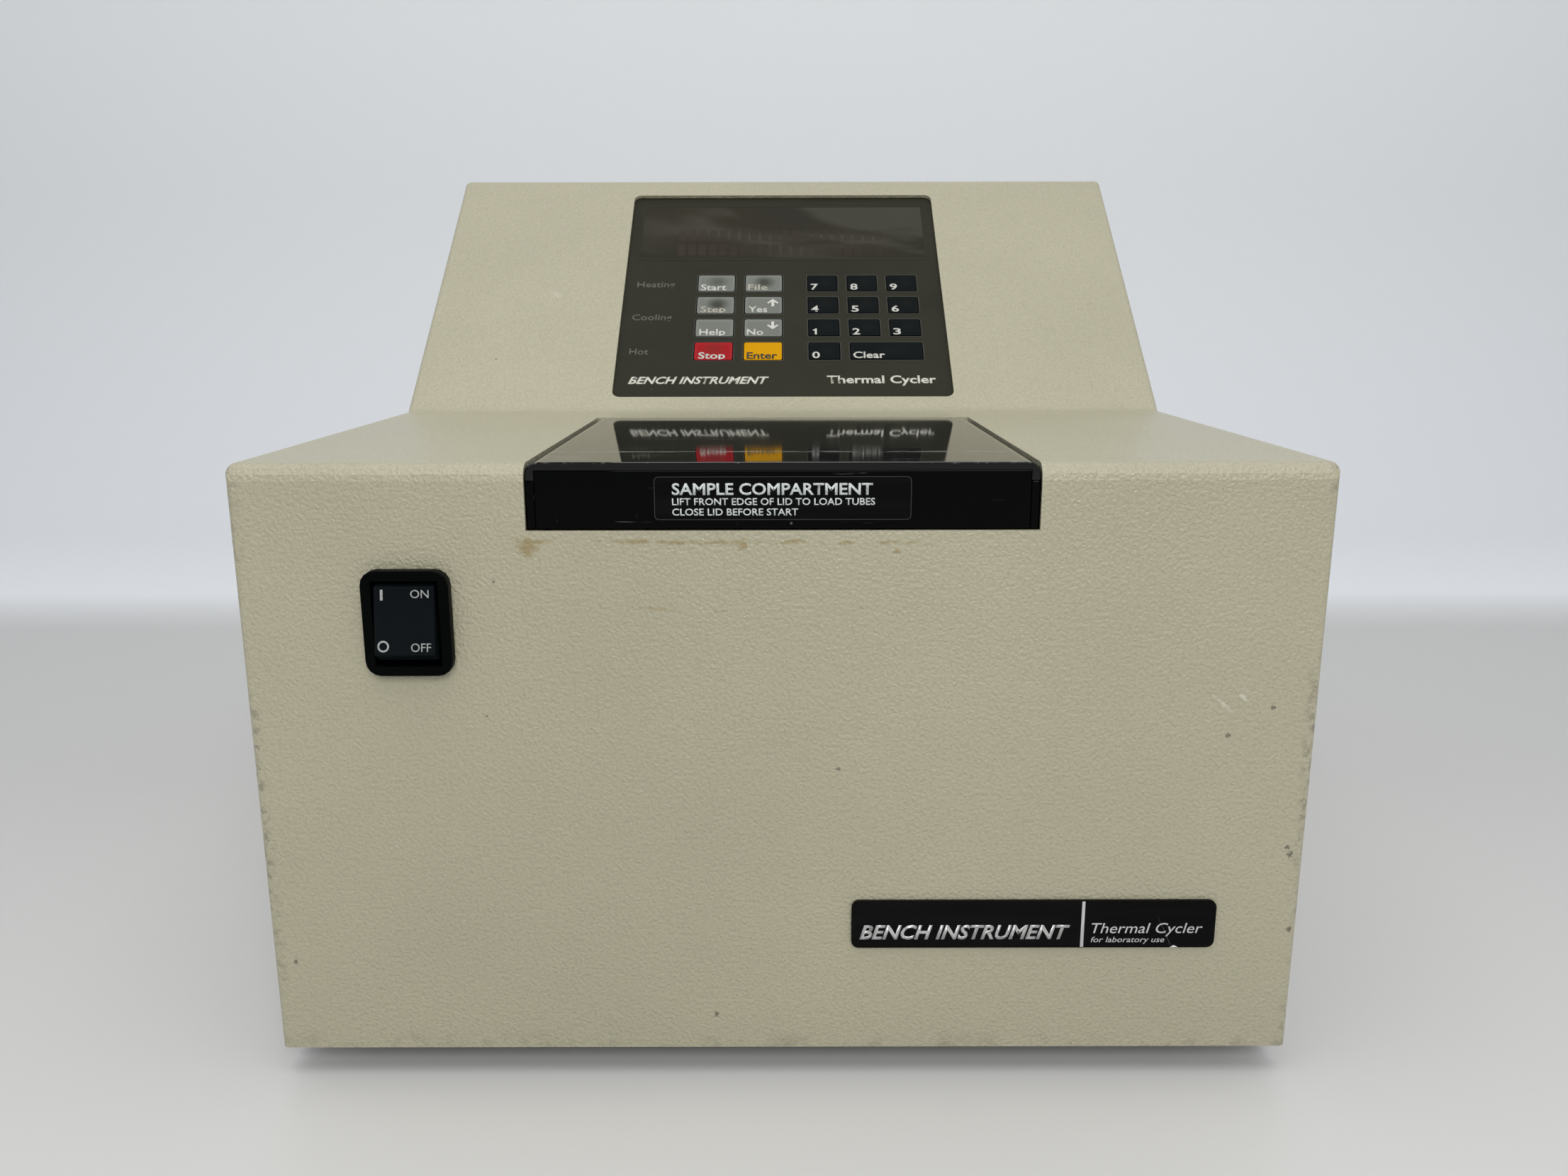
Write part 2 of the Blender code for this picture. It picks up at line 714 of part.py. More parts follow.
def knuckle_spans(own):
    """The (start, end) X of every second knuckle: even ones for the deck's leaf, odd ones for the lid's."""
    length = HINGE_LENGTH / HINGE_KNUCKLES
    spans = []
    for index in range(HINGE_KNUCKLES):
        if index % 2 == own:
            start = -HINGE_LENGTH / 2 + index * length
            spans.append((start + GAP / 2, start + length - GAP / 2))
    return spans


def bore_cutter(name):
    reach = HINGE_LENGTH / 2 + PAST
    ends = (-reach, HINGE_Y, HINGE_Z), (reach, HINGE_Y, HINGE_Z)
    return cylinder(name, *ends, HINGE_BORE_RADIUS, sides=12)


def hinge_leaf_lid(under):
    """A flat leaf under the lid's rear edge, with tabs into its own knuckles."""
    leaf_top = under - GAP
    leaf_low = leaf_top - HINGE_LEAF_THICK
    clear = HINGE_Y - KNUCKLE_RADIUS - GAP
    leaf = box(
        "hinge_leaf_lid",
        (-HINGE_LENGTH / 2, clear - HINGE_LEAF_REACH, leaf_low),
        (HINGE_LENGTH / 2, clear, leaf_top),
        "zinc_steel",
    )
    extras = []
    for index, (start, end) in enumerate(knuckle_spans(1)):
        axis_start, axis_end = (start, HINGE_Y, HINGE_Z), (end, HINGE_Y, HINGE_Z)
        extras.append(box(f"lid_tab_{index}", (start, clear - 2, leaf_low), (end, HINGE_Y, leaf_top)))
        extras.append(cylinder(f"lid_knuckle_{index}", axis_start, axis_end, KNUCKLE_RADIUS, sides=16))
    join(leaf, *extras)
    cut(leaf, bore_cutter("lid_leaf_bore"))
    return leaf


def make_hinge():
    """The fixed leaf on the tray's rear wall, and the pin through all the knuckles."""
    leaf_rear = OPENING_REAR - GAP
    leaf_front = leaf_rear - HINGE_LEAF_THICK
    clear = HINGE_Z - KNUCKLE_RADIUS - GAP
    leaf = box(
        "hinge_leaf_deck",
        (-HINGE_LENGTH / 2, leaf_front, clear - HINGE_LEAF_REACH),
        (HINGE_LENGTH / 2, leaf_rear, clear),
        "zinc_steel",
    )
    extras = []
    for index, (start, end) in enumerate(knuckle_spans(0)):
        axis_start, axis_end = (start, HINGE_Y, HINGE_Z), (end, HINGE_Y, HINGE_Z)
        tab_ends = (start, leaf_front, clear - 2), (end, leaf_rear, HINGE_Z + 0.5)
        extras.append(box(f"deck_tab_{index}", *tab_ends))
        web_ends = (start + 0.5, HINGE_Y, HINGE_Z - 1.6), (end - 0.5, leaf_rear - 0.4, HINGE_Z - 0.4)
        extras.append(box(f"deck_web_{index}", *web_ends))
        extras.append(cylinder(f"deck_knuckle_{index}", axis_start, axis_end, KNUCKLE_RADIUS, sides=16))
    join(leaf, *extras)
    cut(leaf, bore_cutter("deck_leaf_bore"))
    reach = HINGE_LENGTH / 2
    cylinder(
        "hinge_pin",
        (-reach, HINGE_Y, HINGE_Z),
        (reach, HINGE_Y, HINGE_Z),
        HINGE_PIN_RADIUS,
        "zinc_steel",
        sides=12,
    )


# --- sample compartment ---------------------------------------------------------------------------
def make_tray():
    """The black tray under the lid: a floor round the block, and walls up to the deck's underside."""
    inner = LID_OPENING_WIDTH / 2
    outer = inner + TRAY_WALL
    front = FRONT_Y + SHEET + GAP
    rear = OPENING_REAR
    wall_top = DECK_Z - FRONT_BEND - GAP
    low, high = (-outer, front, TRAY_TOP - TRAY_FLOOR), (outer, rear + TRAY_WALL, wall_top)
    tray = box("block_tray", low, high, "black_plastic")
    hollow = box("tray_cutter", (-inner, front - 10, TRAY_TOP), (inner, rear, wall_top + 10))
    room = 1.0
    well = box(
        "tray_block_cutter",
        (-BLOCK_HALF_X - room, BLOCK_Y - BLOCK_HALF_Y - room, TRAY_TOP - 20),
        (BLOCK_HALF_X + room, BLOCK_Y + BLOCK_HALF_Y + room, TRAY_TOP + 10),
    )
    cut(tray, hollow, well)
    return tray


def block_slab(name, low, thick, finish, grow=0.0):
    half_x, half_y = BLOCK_HALF_X + grow, BLOCK_HALF_Y + grow
    return box(name, (-half_x, BLOCK_Y - half_y, low), (half_x, BLOCK_Y + half_y, low + thick), finish)


def well_cutter():
    """Tapered tube wells: a straight mouth, then a cone to a blunt tip."""
    shape = bmesh.new()
    past = 2.0
    for column in range(WELL_COLUMNS):
        for row in range(WELL_ROWS):
            x = (column - (WELL_COLUMNS - 1) / 2) * WELL_PITCH
            y = BLOCK_Y + (row - (WELL_ROWS - 1) / 2) * WELL_PITCH
            profile = [
                (BLOCK_TOP - WELL_DEPTH, WELL_TIP_RADIUS),
                (BLOCK_TOP - WELL_STRAIGHT, WELL_RADIUS),
                (BLOCK_TOP + past, WELL_RADIUS),
            ]
            add_stack(shape, x, y, profile)
    return from_bmesh("well_cutter", shape)


def add_stack(shape, x, y, profile):
    """Adds a vertical stack of rings, given as (height, radius) from the bottom up, closed at both ends."""
    rings = []
    for height, radius in profile:
        made = bmesh.ops.create_circle(
            shape,
            cap_ends=height in (profile[0][0], profile[-1][0]),
            segments=WELL_SIDES,
            radius=radius * MM,
            matrix=Matrix.Translation((x * MM, y * MM, height * MM)),
        )
        ring = set(made["verts"])
        rings.append([e for e in shape.edges if e.verts[0] in ring and e.verts[1] in ring])
    for lower, upper in zip(rings, rings[1:]):
        bmesh.ops.bridge_loops(shape, edges=lower + upper)


def make_block():
    block = block_slab("sample_block", BLOCK_BASE, BLOCK_HEIGHT, "aluminium")
    cut(block, well_cutter())
    block_slab("block_heater", HEATER_BASE, HEATER_THICK, "heater_film")
    block_slab("cooling_plate", COOLING_BASE, COOLING_THICK, "aluminium")
    ring_top = TRAY_TOP - TRAY_FLOOR - GAP
    ring_low = ring_top - INSULATION_HEIGHT
    ring = block_slab("block_insulation", ring_low, INSULATION_HEIGHT, "foam", GAP + INSULATION_THICK)
    cut(ring, block_slab("insulation_cutter", ring_low - 5, INSULATION_HEIGHT + 10, None, GAP))


def make_stand():
    """A folded bridge on the pan that carries the cooling plate."""
    top = COOLING_BASE - GAP
    half_x, half_y = BLOCK_HALF_X, BLOCK_HALF_Y - 8
    low, high = (-half_x, BLOCK_Y - half_y, PAN_TOP + GAP), (half_x, BLOCK_Y + half_y, top)
    stand = box("block_stand", low, high, "zinc_steel")
    wall = 2.0
    under = box(
        "stand_cutter",
        (-half_x + wall, BLOCK_Y - half_y - 5, PAN_TOP - 5),
        (half_x - wall, BLOCK_Y + half_y + 5, top - wall),
    )
    cut(stand, under)


# --- control panel --------------------------------------------------------------------------------
def key_table():
    """Every key as name: (u, v, width, height, finish)."""
    rows = [KEY_TOP_ROW - index * KEY_ROW_PITCH for index in range(4)]
    keys = {}
    functions = (("start", "file"), ("step", "yes"), ("help", "no"), ("stop", "enter"))
    colours = {"stop": "key_red", "enter": "key_amber"}
    for v, names in zip(rows, functions):
        for u, name in zip(FUNCTION_COLUMNS, names):
            keys[f"key_{name}"] = (u, v, *FUNCTION_KEY, colours.get(name, "key_grey"))
    for v, names in zip(rows, (("7", "8", "9"), ("4", "5", "6"), ("1", "2", "3"), ("0",))):
        for column, name in enumerate(names):
            u = NUMBER_FIRST_COLUMN + column * NUMBER_PITCH
            keys[f"key_{name}"] = (u, v, *NUMBER_KEY, "key_black")
    clear_u = NUMBER_FIRST_COLUMN + 1.5 * NUMBER_PITCH
    keys["key_clear"] = (clear_u, rows[3], NUMBER_KEY[0] + NUMBER_PITCH, NUMBER_KEY[1], "key_black")
    return keys


def make_keys():
    """Each key is a pad in its own hole of the overlay, with its origin at the centre of its back."""
    key_holes = []
    for name, (u, v, width, height, finish) in key_table().items():
        place = slope_axes() @ Matrix.Translation((u * MM, v * MM, KEY_BASE * MM))
        outline = rounded_rectangle((0, 0), (width, height), KEY_CORNER, 2)
        made = slab(name, outline, 0, KEY_THICK, Matrix.Identity(4), finish)
        made.data.transform(made.matrix_world)
        made.matrix_world = place
        hole = (width + 2 * KEY_CLEARANCE, height + 2 * KEY_CLEARANCE)
        outline = rounded_rectangle((u, v), hole, KEY_CORNER, 2)
        key_holes.append(slab(f"{name}_hole", outline, -20, 5, slope_axes()))
    return key_holes


def make_panel():
    outline, place = panel_outline(OVERLAY_LIP), slope_axes()
    overlay = slab("control_overlay", outline, OVERLAY_BASE, OVERLAY_TOP, place, "overlay_film")
    window_centre = (0.0, (WINDOW_LOW + WINDOW_HIGH) / 2)
    window_size = (WINDOW_WIDTH, WINDOW_HIGH - WINDOW_LOW)
    hole_size = (window_size[0] + 2 * GAP, window_size[1] + 2 * GAP)
    window_outline = rounded_rectangle(window_centre, window_size, 1.0, 2)
    hole_outline = rounded_rectangle(window_centre, hole_size, 1.0 + GAP, 2)
    slab("display_window", window_outline, OVERLAY_BASE, OVERLAY_TOP, place, "smoked_window")
    window_hole = slab("window_cutter", hole_outline, -20, 5, place)
    cut(overlay, window_hole, *make_keys())
    plate = slab("keypad_plate", outline, PLATE_TOP - PLATE_THICK, PLATE_TOP, place, "aluminium")
    cut(plate, window_hole)
    make_display(window_centre)


def make_display(centre):
    """The display's glass envelope on its board, behind the window."""
    glass_top = PLATE_TOP - PLATE_THICK - GAP
    glass_base = glass_top - DISPLAY_GLASS[2]
    glass_outline = rounded_rectangle(centre, DISPLAY_GLASS[:2], 2.0, 2)
    board_outline = rounded_rectangle(centre, DISPLAY_BOARD[:2], 1.0, 2)
    place = slope_axes()
    board_base = glass_base - DISPLAY_BOARD[2]
    board = slab("display_module", board_outline, board_base, glass_base, place, "display_glass")
    join(board, slab("display_glass_shape", glass_outline, glass_base - 0.5, glass_top, place))


# --- power switch, nameplate ----------------------------------------------------------------------
def front_axes():
    """U to the right, V up, W out of the front face."""
    return axes((0, FRONT_Y, COVER_Z), (1, 0, 0), (0, 0, 1))


def make_switch():
    centre = (SWITCH_X, SWITCH_HEIGHT)
    bezel_outline = rounded_rectangle(centre, (BEZEL_WIDTH, BEZEL_HEIGHT), BEZEL_CORNER)
    housing = slab("switch_housing", bezel_outline, GAP, BEZEL_PROUD, front_axes(), "black_plastic")
    bevel(housing, BEZEL_EDGE)
    half_x, half_z = SWITCH_BODY[0] / 2, SWITCH_BODY[1] / 2
    body = box(
        "switch_body_shape",
        (SWITCH_X - half_x, FRONT_Y - 1, SWITCH_Z - half_z),
        (SWITCH_X + half_x, FRONT_Y + SWITCH_BODY[2], SWITCH_Z + half_z),
    )
    half_x, half_z = SWITCH_OPENING[0] / 2, SWITCH_OPENING[1] / 2
    floor = ROCKER_PIVOT_DEPTH + 6.0
    opening = box(
        "switch_opening_cutter",
        (SWITCH_X - half_x, FRONT_Y - 10, SWITCH_Z - half_z),
        (SWITCH_X + half_x, FRONT_Y + floor, SWITCH_Z + half_z),
    )
    join(housing, body)
    cut(housing, opening)


def make_rocker():
    """The rocker in its ON position: upper end pressed in, turned about a pivot behind its face."""
    profile = [
        (ROCKER_REACH, -ROCKER_FACE),
        (ROCKER_REACH, ROCKER_FACE),
        (ROCKER_REACH - 5.0, ROCKER_WAIST),
        (-2.0, ROCKER_WAIST - 1.2),
        (-2.0, 1.2 - ROCKER_WAIST),
        (ROCKER_REACH - 5.0, -ROCKER_WAIST),
    ]
    side = axes((0, 0, 0), (0, -1, 0), (0, 0, 1))
    rocker = slab("power_rocker", profile, -ROCKER_WIDTH / 2, ROCKER_WIDTH / 2, side, "black_plastic")
    rocker.data.transform(rocker.matrix_world)
    place = Matrix.Translation(Vector((SWITCH_X, FRONT_Y + ROCKER_PIVOT_DEPTH, SWITCH_Z)) * MM)
    rocker.matrix_world = place @ Matrix.Rotation(math.radians(-ROCKER_TILT), 4, "X")
    bevel(rocker, 0.5)


def make_nameplate():
    outline = rounded_rectangle((NAMEPLATE_X, NAMEPLATE_HEIGHT), NAMEPLATE_SIZE, 2.4)
    slab("nameplate", outline, GAP / 2, GAP / 2 + NAMEPLATE_THICK, front_axes(), "label_film")


# --- rear fittings --------------------------------------------------------------------------------
def make_fan():
    """Axial fan: a square frame with a round duct, a motor boss on three struts, and the rotor."""
    z = COVER_Z + FAN_Z
    half = FAN_SIZE / 2
    low, high = (FAN_X - half, FAN_FRONT, z - half), (FAN_X + half, FAN_REAR, z + half)
    frame = box("fan_frame", low, high, "black_plastic")
    duct_ends = (FAN_X, FAN_FRONT - PAST, z), (FAN_X, FAN_REAR + PAST, z)
    cut(frame, cylinder("duct_cutter", *duct_ends, FAN_DUCT_RADIUS, sides=32))
    boss_front = FAN_REAR - FAN_BOSS_DEPTH
    boss = cylinder("boss_shape", (FAN_X, boss_front, z), (FAN_X, FAN_REAR, z), FAN_HUB_RADIUS, sides=20)
    struts = []
    for index in range(3):
        angle = math.pi / 2 + index * 2 * math.pi / 3
        shape = bmesh.new()
        half = FAN_STRUT_WIDTH / 2
        add_box(shape, (0, boss_front + 1, -half), (FAN_DUCT_RADIUS + 1, FAN_REAR - 1, half))
        strut = from_bmesh(f"strut_{index}", shape)
        strut.matrix_world = Matrix.Translation((FAN_X * MM, 0, z * MM)) @ Matrix.Rotation(angle, 4, "Y")
        struts.append(strut)
    join(frame, boss, *struts)
    make_rotor(FAN_FRONT + FAN_INSET, boss_front - 1, z)


def make_rotor(front, rear, z):
    """Hub with pitched blades, its origin on the fan's axis."""
    ends = (FAN_X, front, z), (FAN_X, rear, z)
    rotor = cylinder("fan_rotor", *ends, FAN_HUB_RADIUS, "black_plastic", sides=20)
    chord, thick = FAN_BLADE[0] / 2, FAN_BLADE[1] / 2
    tip = math.sqrt((FAN_DUCT_RADIUS - FAN_TIP_GAP) ** 2 - (chord * math.sin(FAN_PITCH)) ** 2) - thick
    middle = (front + rear) / 2
    for index in range(FAN_BLADES):
        shape = bmesh.new()
        add_box(shape, (FAN_HUB_RADIUS - 2, -chord, -thick), (tip, chord, thick))
        blade = from_bmesh(f"blade_{index}", shape)
        turn = Matrix.Rotation(2 * math.pi * index / FAN_BLADES, 4, "Y")
        pitch = Matrix.Rotation(FAN_PITCH, 4, "X")
        blade.matrix_world = Matrix.Translation(Vector((FAN_X, middle, z)) * MM) @ turn @ pitch
        join(rotor, blade)
    set_origin(rotor, (FAN_X, middle, z))


def make_guard():
    """Finger guard: flat wire rings on two crossed bars, outside the rear panel."""
    z = COVER_Z + FAN_Z
    low, high = REAR_FACE + GAP, REAR_FACE + GAP + GUARD_WIRE
    reach = GUARD_RINGS[-1] + 8
    bar, bar_high = GUARD_WIRE, high + 0.6
    guard = box("fan_guard", (FAN_X - reach, low, z - bar), (FAN_X + reach, bar_high, z + bar), "zinc_steel")
    upright = box("guard_upright", (FAN_X - bar, low, z - reach), (FAN_X + bar, bar_high, z + reach))
    join(guard, upright)
    for index, radius in enumerate(GUARD_RINGS):
        ends = (FAN_X, low + 0.2, z), (FAN_X, high, z)
        ring = cylinder(f"guard_ring_{index}", *ends, radius + GUARD_WIRE / 2, sides=24)
        hole_ends = (FAN_X, low - 5, z), (FAN_X, high + 5, z)
        cut(ring, cylinder(f"guard_hole_{index}", *hole_ends, radius - GUARD_WIRE / 2, sides=24))
        join(guard, ring)


def make_inlet():
    """Mains inlet: a flange outside the panel and an open socket with three blades behind it."""
    z = COVER_Z + INLET_Z
    half_x, half_z = INLET_OPENING[0] / 2, INLET_OPENING[1] / 2
    wall = INLET_WALL
    flange = box(
        "power_inlet",
        (INLET_X - INLET_FLANGE[0] / 2, REAR_FACE + GAP, z - INLET_FLANGE[1] / 2),
        (INLET_X + INLET_FLANGE[0] / 2, REAR_FACE + GAP + 3, z + INLET_FLANGE[1] / 2),
        "black_plastic",
    )
    shell = box(
        "inlet_shell",
        (INLET_X - half_x - wall, REAR_FACE - INLET_DEPTH - 3, z - half_z - wall),
        (INLET_X + half_x + wall, REAR_FACE + GAP + 1, z + half_z + wall),
    )
    socket = box(
        "inlet_socket_cutter",
        (INLET_X - half_x, REAR_FACE - INLET_DEPTH, z - half_z),
        (INLET_X + half_x, REAR_FACE + PAST, z + half_z),
    )
    join(flange, shell)
    cut(flange, socket)
    for index, (x, up) in enumerate(((-7, -2), (0, 3), (7, -2))):
        low = (INLET_X + x - 1, REAR_FACE - INLET_DEPTH - 1, z + up - 2)
        join(flange, box(f"inlet_blade_{index}", low, (low[0] + 2, REAR_FACE - 2, low[2] + 4)))


def make_fuse():
    """Fuse holder: a screwed cap outside the panel and its barrel inside."""
    z = COVER_Z + INLET_Z
    cap_start, cap_end = (FUSE_X, REAR_FACE + GAP, z), (FUSE_X, REAR_FACE + FUSE_PROUD, z)
    cap = cylinder("fuse_holder", cap_start, cap_end, FUSE_RADIUS, "black_plastic", sides=16)
    barrel_ends = (FUSE_X, REAR_INNER - 28, z), (FUSE_X, REAR_FACE + 2, z)
    join(cap, cylinder("fuse_barrel", *barrel_ends, FUSE_RADIUS - FUSE_SHOULDER - GAP, sides=16))


def make_port():
    """Data connector: a metal shell through the panel, recessed round its contact block."""
    z = COVER_Z + PORT_Z
    half_x, half_z = PORT_SHELL[0] / 2, PORT_SHELL[1] / 2
    port = box(
        "data_port",
        (PORT_X - half_x, REAR_INNER - 8, z - half_z),
        (PORT_X + half_x, REAR_FACE + 5, z + half_z),
        "zinc_steel",
    )
    recess = box(
        "port_recess_cutter",
        (PORT_X - half_x + 1, REAR_FACE - 1, z - half_z + 1),
        (PORT_X + half_x - 1, REAR_FACE + 10, z + half_z - 1),
    )
    cut(port, recess)


# --- machinery inside -----------------------------------------------------------------------------
def make_compressor():
    """A hermetic can with domed ends on a base plate."""
    dome, radius, height = 22.0, COMPRESSOR_RADIUS, COMPRESSOR_HEIGHT
    steps = 5
    profile = [(0.0, height)]
    for step in range(1, steps + 1):
        angle = step / steps * math.pi / 2
        profile.append((radius * math.sin(angle), height - dome * (1 - math.cos(angle))))
    profile.append((radius, 12.0))
    profile.append((radius * 0.8, 0.0))
    profile.append((0.0, 0.0))
    base_z = PAN_TOP + GAP + 4
    centre = (COMPRESSOR_X, FRONT_Y + COMPRESSOR_BACK, base_z)
    can = turned_solid("compressor", profile, centre, "compressor_black", 20)
    reach = radius + 4
    plate = box(
        "compressor_plate",
        (COMPRESSOR_X - reach, centre[1] - reach * 0.7, PAN_TOP + GAP),
        (COMPRESSOR_X + reach, centre[1] + reach * 0.7, base_z + 1.5),
    )
    join(can, plate)


def condenser_box():
    width, depth, height = CONDENSER_SIZE
    rear = FAN_FRONT - 4
    low = (FAN_X - width / 2, rear - depth, PAN_TOP + GAP)
    return low, (FAN_X + width / 2, rear, low[2] + height)


def make_condenser():
    """A block of upright fins between two end plates, in front of the fan."""
    low, high = condenser_box()
    condenser = box("condenser", low, high, "aluminium")
    shape = bmesh.new()
    pitch = (high[0] - low[0]) / CONDENSER_FINS
    half, floor, ceiling = pitch * 0.3, low[2] + 8, high[2] - 8
    for index in range(CONDENSER_FINS):
        x = low[0] + (index + 0.5) * pitch
        for start, end in ((low[1] - PAST, low[1] + FIN_DEPTH), (high[1] - FIN_DEPTH, high[1] + PAST)):
            add_box(shape, (x - half, start, floor), (x + half, end, ceiling))
    cut(condenser, from_bmesh("fin_cutter", shape))


def make_pipes():
    """Copper pipes of the refrigerant loop, from the compressor round to the cooling plate and back."""
    low, high = condenser_box()
    top = PAN_TOP + COMPRESSOR_HEIGHT
    y = FRONT_Y + COMPRESSOR_BACK
    plate_z = COOLING_BASE + COOLING_THICK / 2
    plate_rear = BLOCK_Y + BLOCK_HALF_Y + GAP
    clear = PIPE_RADIUS + GAP
    discharge = [
        (COMPRESSOR_X + 20, y, top + 8),
        (COMPRESSOR_X + 26, y + 2, top + 22),
        (COMPRESSOR_X + 60, y + 6, top + 26),
        (low[0] + 20, low[1] + 12, top + 16),
        (low[0] + 24, (low[1] + high[1]) / 2, high[2] + clear + 8),
        (low[0] + 24, (low[1] + high[1]) / 2, high[2] + GAP),
    ]
    liquid = [
        (high[0] - 20, low[1] - GAP, low[2] + 30),
        (high[0] - 20, low[1] - 14, low[2] + 30),
        (high[0] - 28, low[1] - 60, low[2] + 44),
        (40, plate_rear + 60, plate_z - 14),
        (34, plate_rear + 16, plate_z),
        (34, plate_rear, plate_z),
    ]
    suction = [
        (-34, plate_rear, plate_z),
        (-34, plate_rear + 14, plate_z),
        (-40, plate_rear + 50, plate_z + 10),
        (COMPRESSOR_X + 10, y - 70, top + 10),
        (COMPRESSOR_X, y - 20, top + 18),
        (COMPRESSOR_X, y, top + 8),
    ]
    pipe("discharge_pipe", discharge, PIPE_RADIUS, "copper")
    pipe("liquid_pipe", liquid, PIPE_RADIUS - 0.8, "copper")
    pipe("suction_pipe", suction, PIPE_RADIUS, "copper")


def make_transformer():
    width, depth, height = TRANSFORMER_SIZE
    x, y, z = TRANSFORMER_X, FRONT_Y + TRANSFORMER_BACK, PAN_TOP + GAP
    core = box(
        "power_transformer",
        (x - width / 2, y - depth / 4, z),
        (x + width / 2, y + depth / 4, z + height),
        "transformer_iron",
    )
    low = (x - width / 4, y - depth / 2, z + COIL_INSET)
    coil = box("coil_shape", low, (x + width / 4, y + depth / 2, z + height - COIL_INSET))
    join(core, coil)


def make_board():
    """The control board, upright along the left side, with its larger chips on it."""
    x = -INNER_X + 8
    front, low = FRONT_Y + 22, PAN_Z + PAN_FLANGE + 4
    high = (x + BOARD_THICK, front + BOARD_LENGTH, low + BOARD_HEIGHT)
    board = box("control_board", (x, front, low), high, "circuit_board")
    chips = ((20, 20, 34, 14), (70, 20, 40, 14), (20, 60, 26, 26), (70, 62, 52, 16), (140, 30, 34, 60))
    for index, (y, z, length, height) in enumerate(chips):
        start = (x + 1, front + y, low + z)
        join(board, box(f"chip_{index}", start, (x + 6, front + y + length, low + z + height)))


# --- build ----------------------------------------------------------------------------------------
clear_scene()
PARTS = new_collection("thermal_cycler")
TOOLS = new_collection("cutters")
make_cover()
make_pan()
make_rear_panel()
make_feet()
make_tray()
make_block()
make_stand()
make_lid()
make_hinge()
make_panel()
make_switch()
make_rocker()
make_nameplate()
make_fan()
make_guard()
make_inlet()
make_fuse()
make_port()
make_compressor()
make_condenser()
make_pipes()
make_transformer()
make_board()
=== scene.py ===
"""Looks of the bench thermal cycler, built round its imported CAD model.

Lengths are in metres; a number of millimetres is written as number * MM.
Places come from the frame: its nodes' boxes, its joints' axes, and the distances named below.
"""

import json
import math
import random

import bmesh
import bpy
from mathutils import Matrix, Vector


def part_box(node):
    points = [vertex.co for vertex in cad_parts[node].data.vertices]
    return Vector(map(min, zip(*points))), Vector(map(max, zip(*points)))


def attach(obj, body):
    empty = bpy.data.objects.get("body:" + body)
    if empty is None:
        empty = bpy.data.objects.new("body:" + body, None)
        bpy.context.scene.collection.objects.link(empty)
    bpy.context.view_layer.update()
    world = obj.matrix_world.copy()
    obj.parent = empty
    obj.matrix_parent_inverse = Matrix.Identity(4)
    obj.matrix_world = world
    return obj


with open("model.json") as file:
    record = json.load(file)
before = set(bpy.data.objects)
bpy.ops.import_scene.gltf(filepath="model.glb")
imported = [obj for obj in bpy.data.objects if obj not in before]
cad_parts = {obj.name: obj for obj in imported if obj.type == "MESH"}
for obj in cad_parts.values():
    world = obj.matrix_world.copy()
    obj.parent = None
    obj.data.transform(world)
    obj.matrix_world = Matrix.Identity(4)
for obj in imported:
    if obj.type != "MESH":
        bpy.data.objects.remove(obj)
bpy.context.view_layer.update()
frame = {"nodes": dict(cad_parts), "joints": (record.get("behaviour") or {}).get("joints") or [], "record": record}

MM = 0.001
X_AXIS, Z_AXIS = Vector((1, 0, 0)), Vector((0, 0, 1))
JOINTS = {joint["name"]: joint for joint in frame["joints"]}

# --- the machine's main places --------------------------------------------------------------------
COVER_LOW, COVER_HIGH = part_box("housing_cover")
FRONT_Y, COVER_Z = COVER_LOW.y, COVER_LOW.z
LID_LOW, LID_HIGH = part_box("lid_top")
LID_TOP = LID_HIGH.z
NOTCH_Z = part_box("lid_wall_left")[0].z - 0.6 * MM
REAR_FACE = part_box("rear_panel")[1].y
OVERLAY_MIDDLE = 82.55 * MM  # up the slope, from its foot to the overlay's middle
OVERLAY_THICK = 1.2 * MM
KEY_THICK = 1.0 * MM
KEY_CLEARANCE = 0.4 * MM
LIFT = 0.04 * MM  # printed marks stand this far off what they are printed on
PRINT_THICK = 0.05 * MM
LINE_THICK = 0.03 * MM  # of the thinnest printed lines
WELL_PITCH = 13.5 * MM
TRAY_FLOOR = 2.4 * MM  # thickness of the sheet that the tray's screws go through

# --- camera: the photograph's viewpoint -----------------------------------------------------------
CAMERA_PLACE = (0.3 * MM, FRONT_Y - 361.3 * MM, COVER_Z + 238.4 * MM)
CAMERA_DOWN = 12.99
CAMERA_ROLL = -0.10
CAMERA_LENS = 28.27

BEIGE = (0.412, 0.388, 0.277)
OFF_WHITE = (0.56, 0.56, 0.51)


def middle(node):
    """The middle of a node's box."""
    low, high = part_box(node)
    return (low + high) / 2


def axes(origin, along_u, along_v):
    """A placing matrix with u and v as its first two axes."""
    u, v = Vector(along_u).normalized(), Vector(along_v).normalized()
    return Matrix.Translation(origin) @ Matrix((u, v, u.cross(v))).transposed().to_4x4()


INWARD = Vector(JOINTS["key_0_press"]["axis"]).normalized()
UP_SLOPE = (-INWARD).cross(X_AXIS)


def on_slope(u, v, lift=LIFT):
    """The overlay's face: u to the right of the middle, v up the slope from its foot."""
    place = middle("control_overlay") - INWARD * (OVERLAY_THICK / 2 + lift)
    return axes(place + X_AXIS * u + UP_SLOPE * (v - OVERLAY_MIDDLE), X_AXIS, UP_SLOPE)


def on_front(x, height, proud):
    """The cover's front face: height above the cover's lower edge, proud in front of the face."""
    return axes((x, FRONT_Y - proud, COVER_Z + height), X_AXIS, Z_AXIS)


def on_rear(x, height, proud=LIFT):
    """The rear panel's outer face, read by someone who stands behind it."""
    return axes((x, REAR_FACE + proud, COVER_Z + height), -X_AXIS, Z_AXIS)


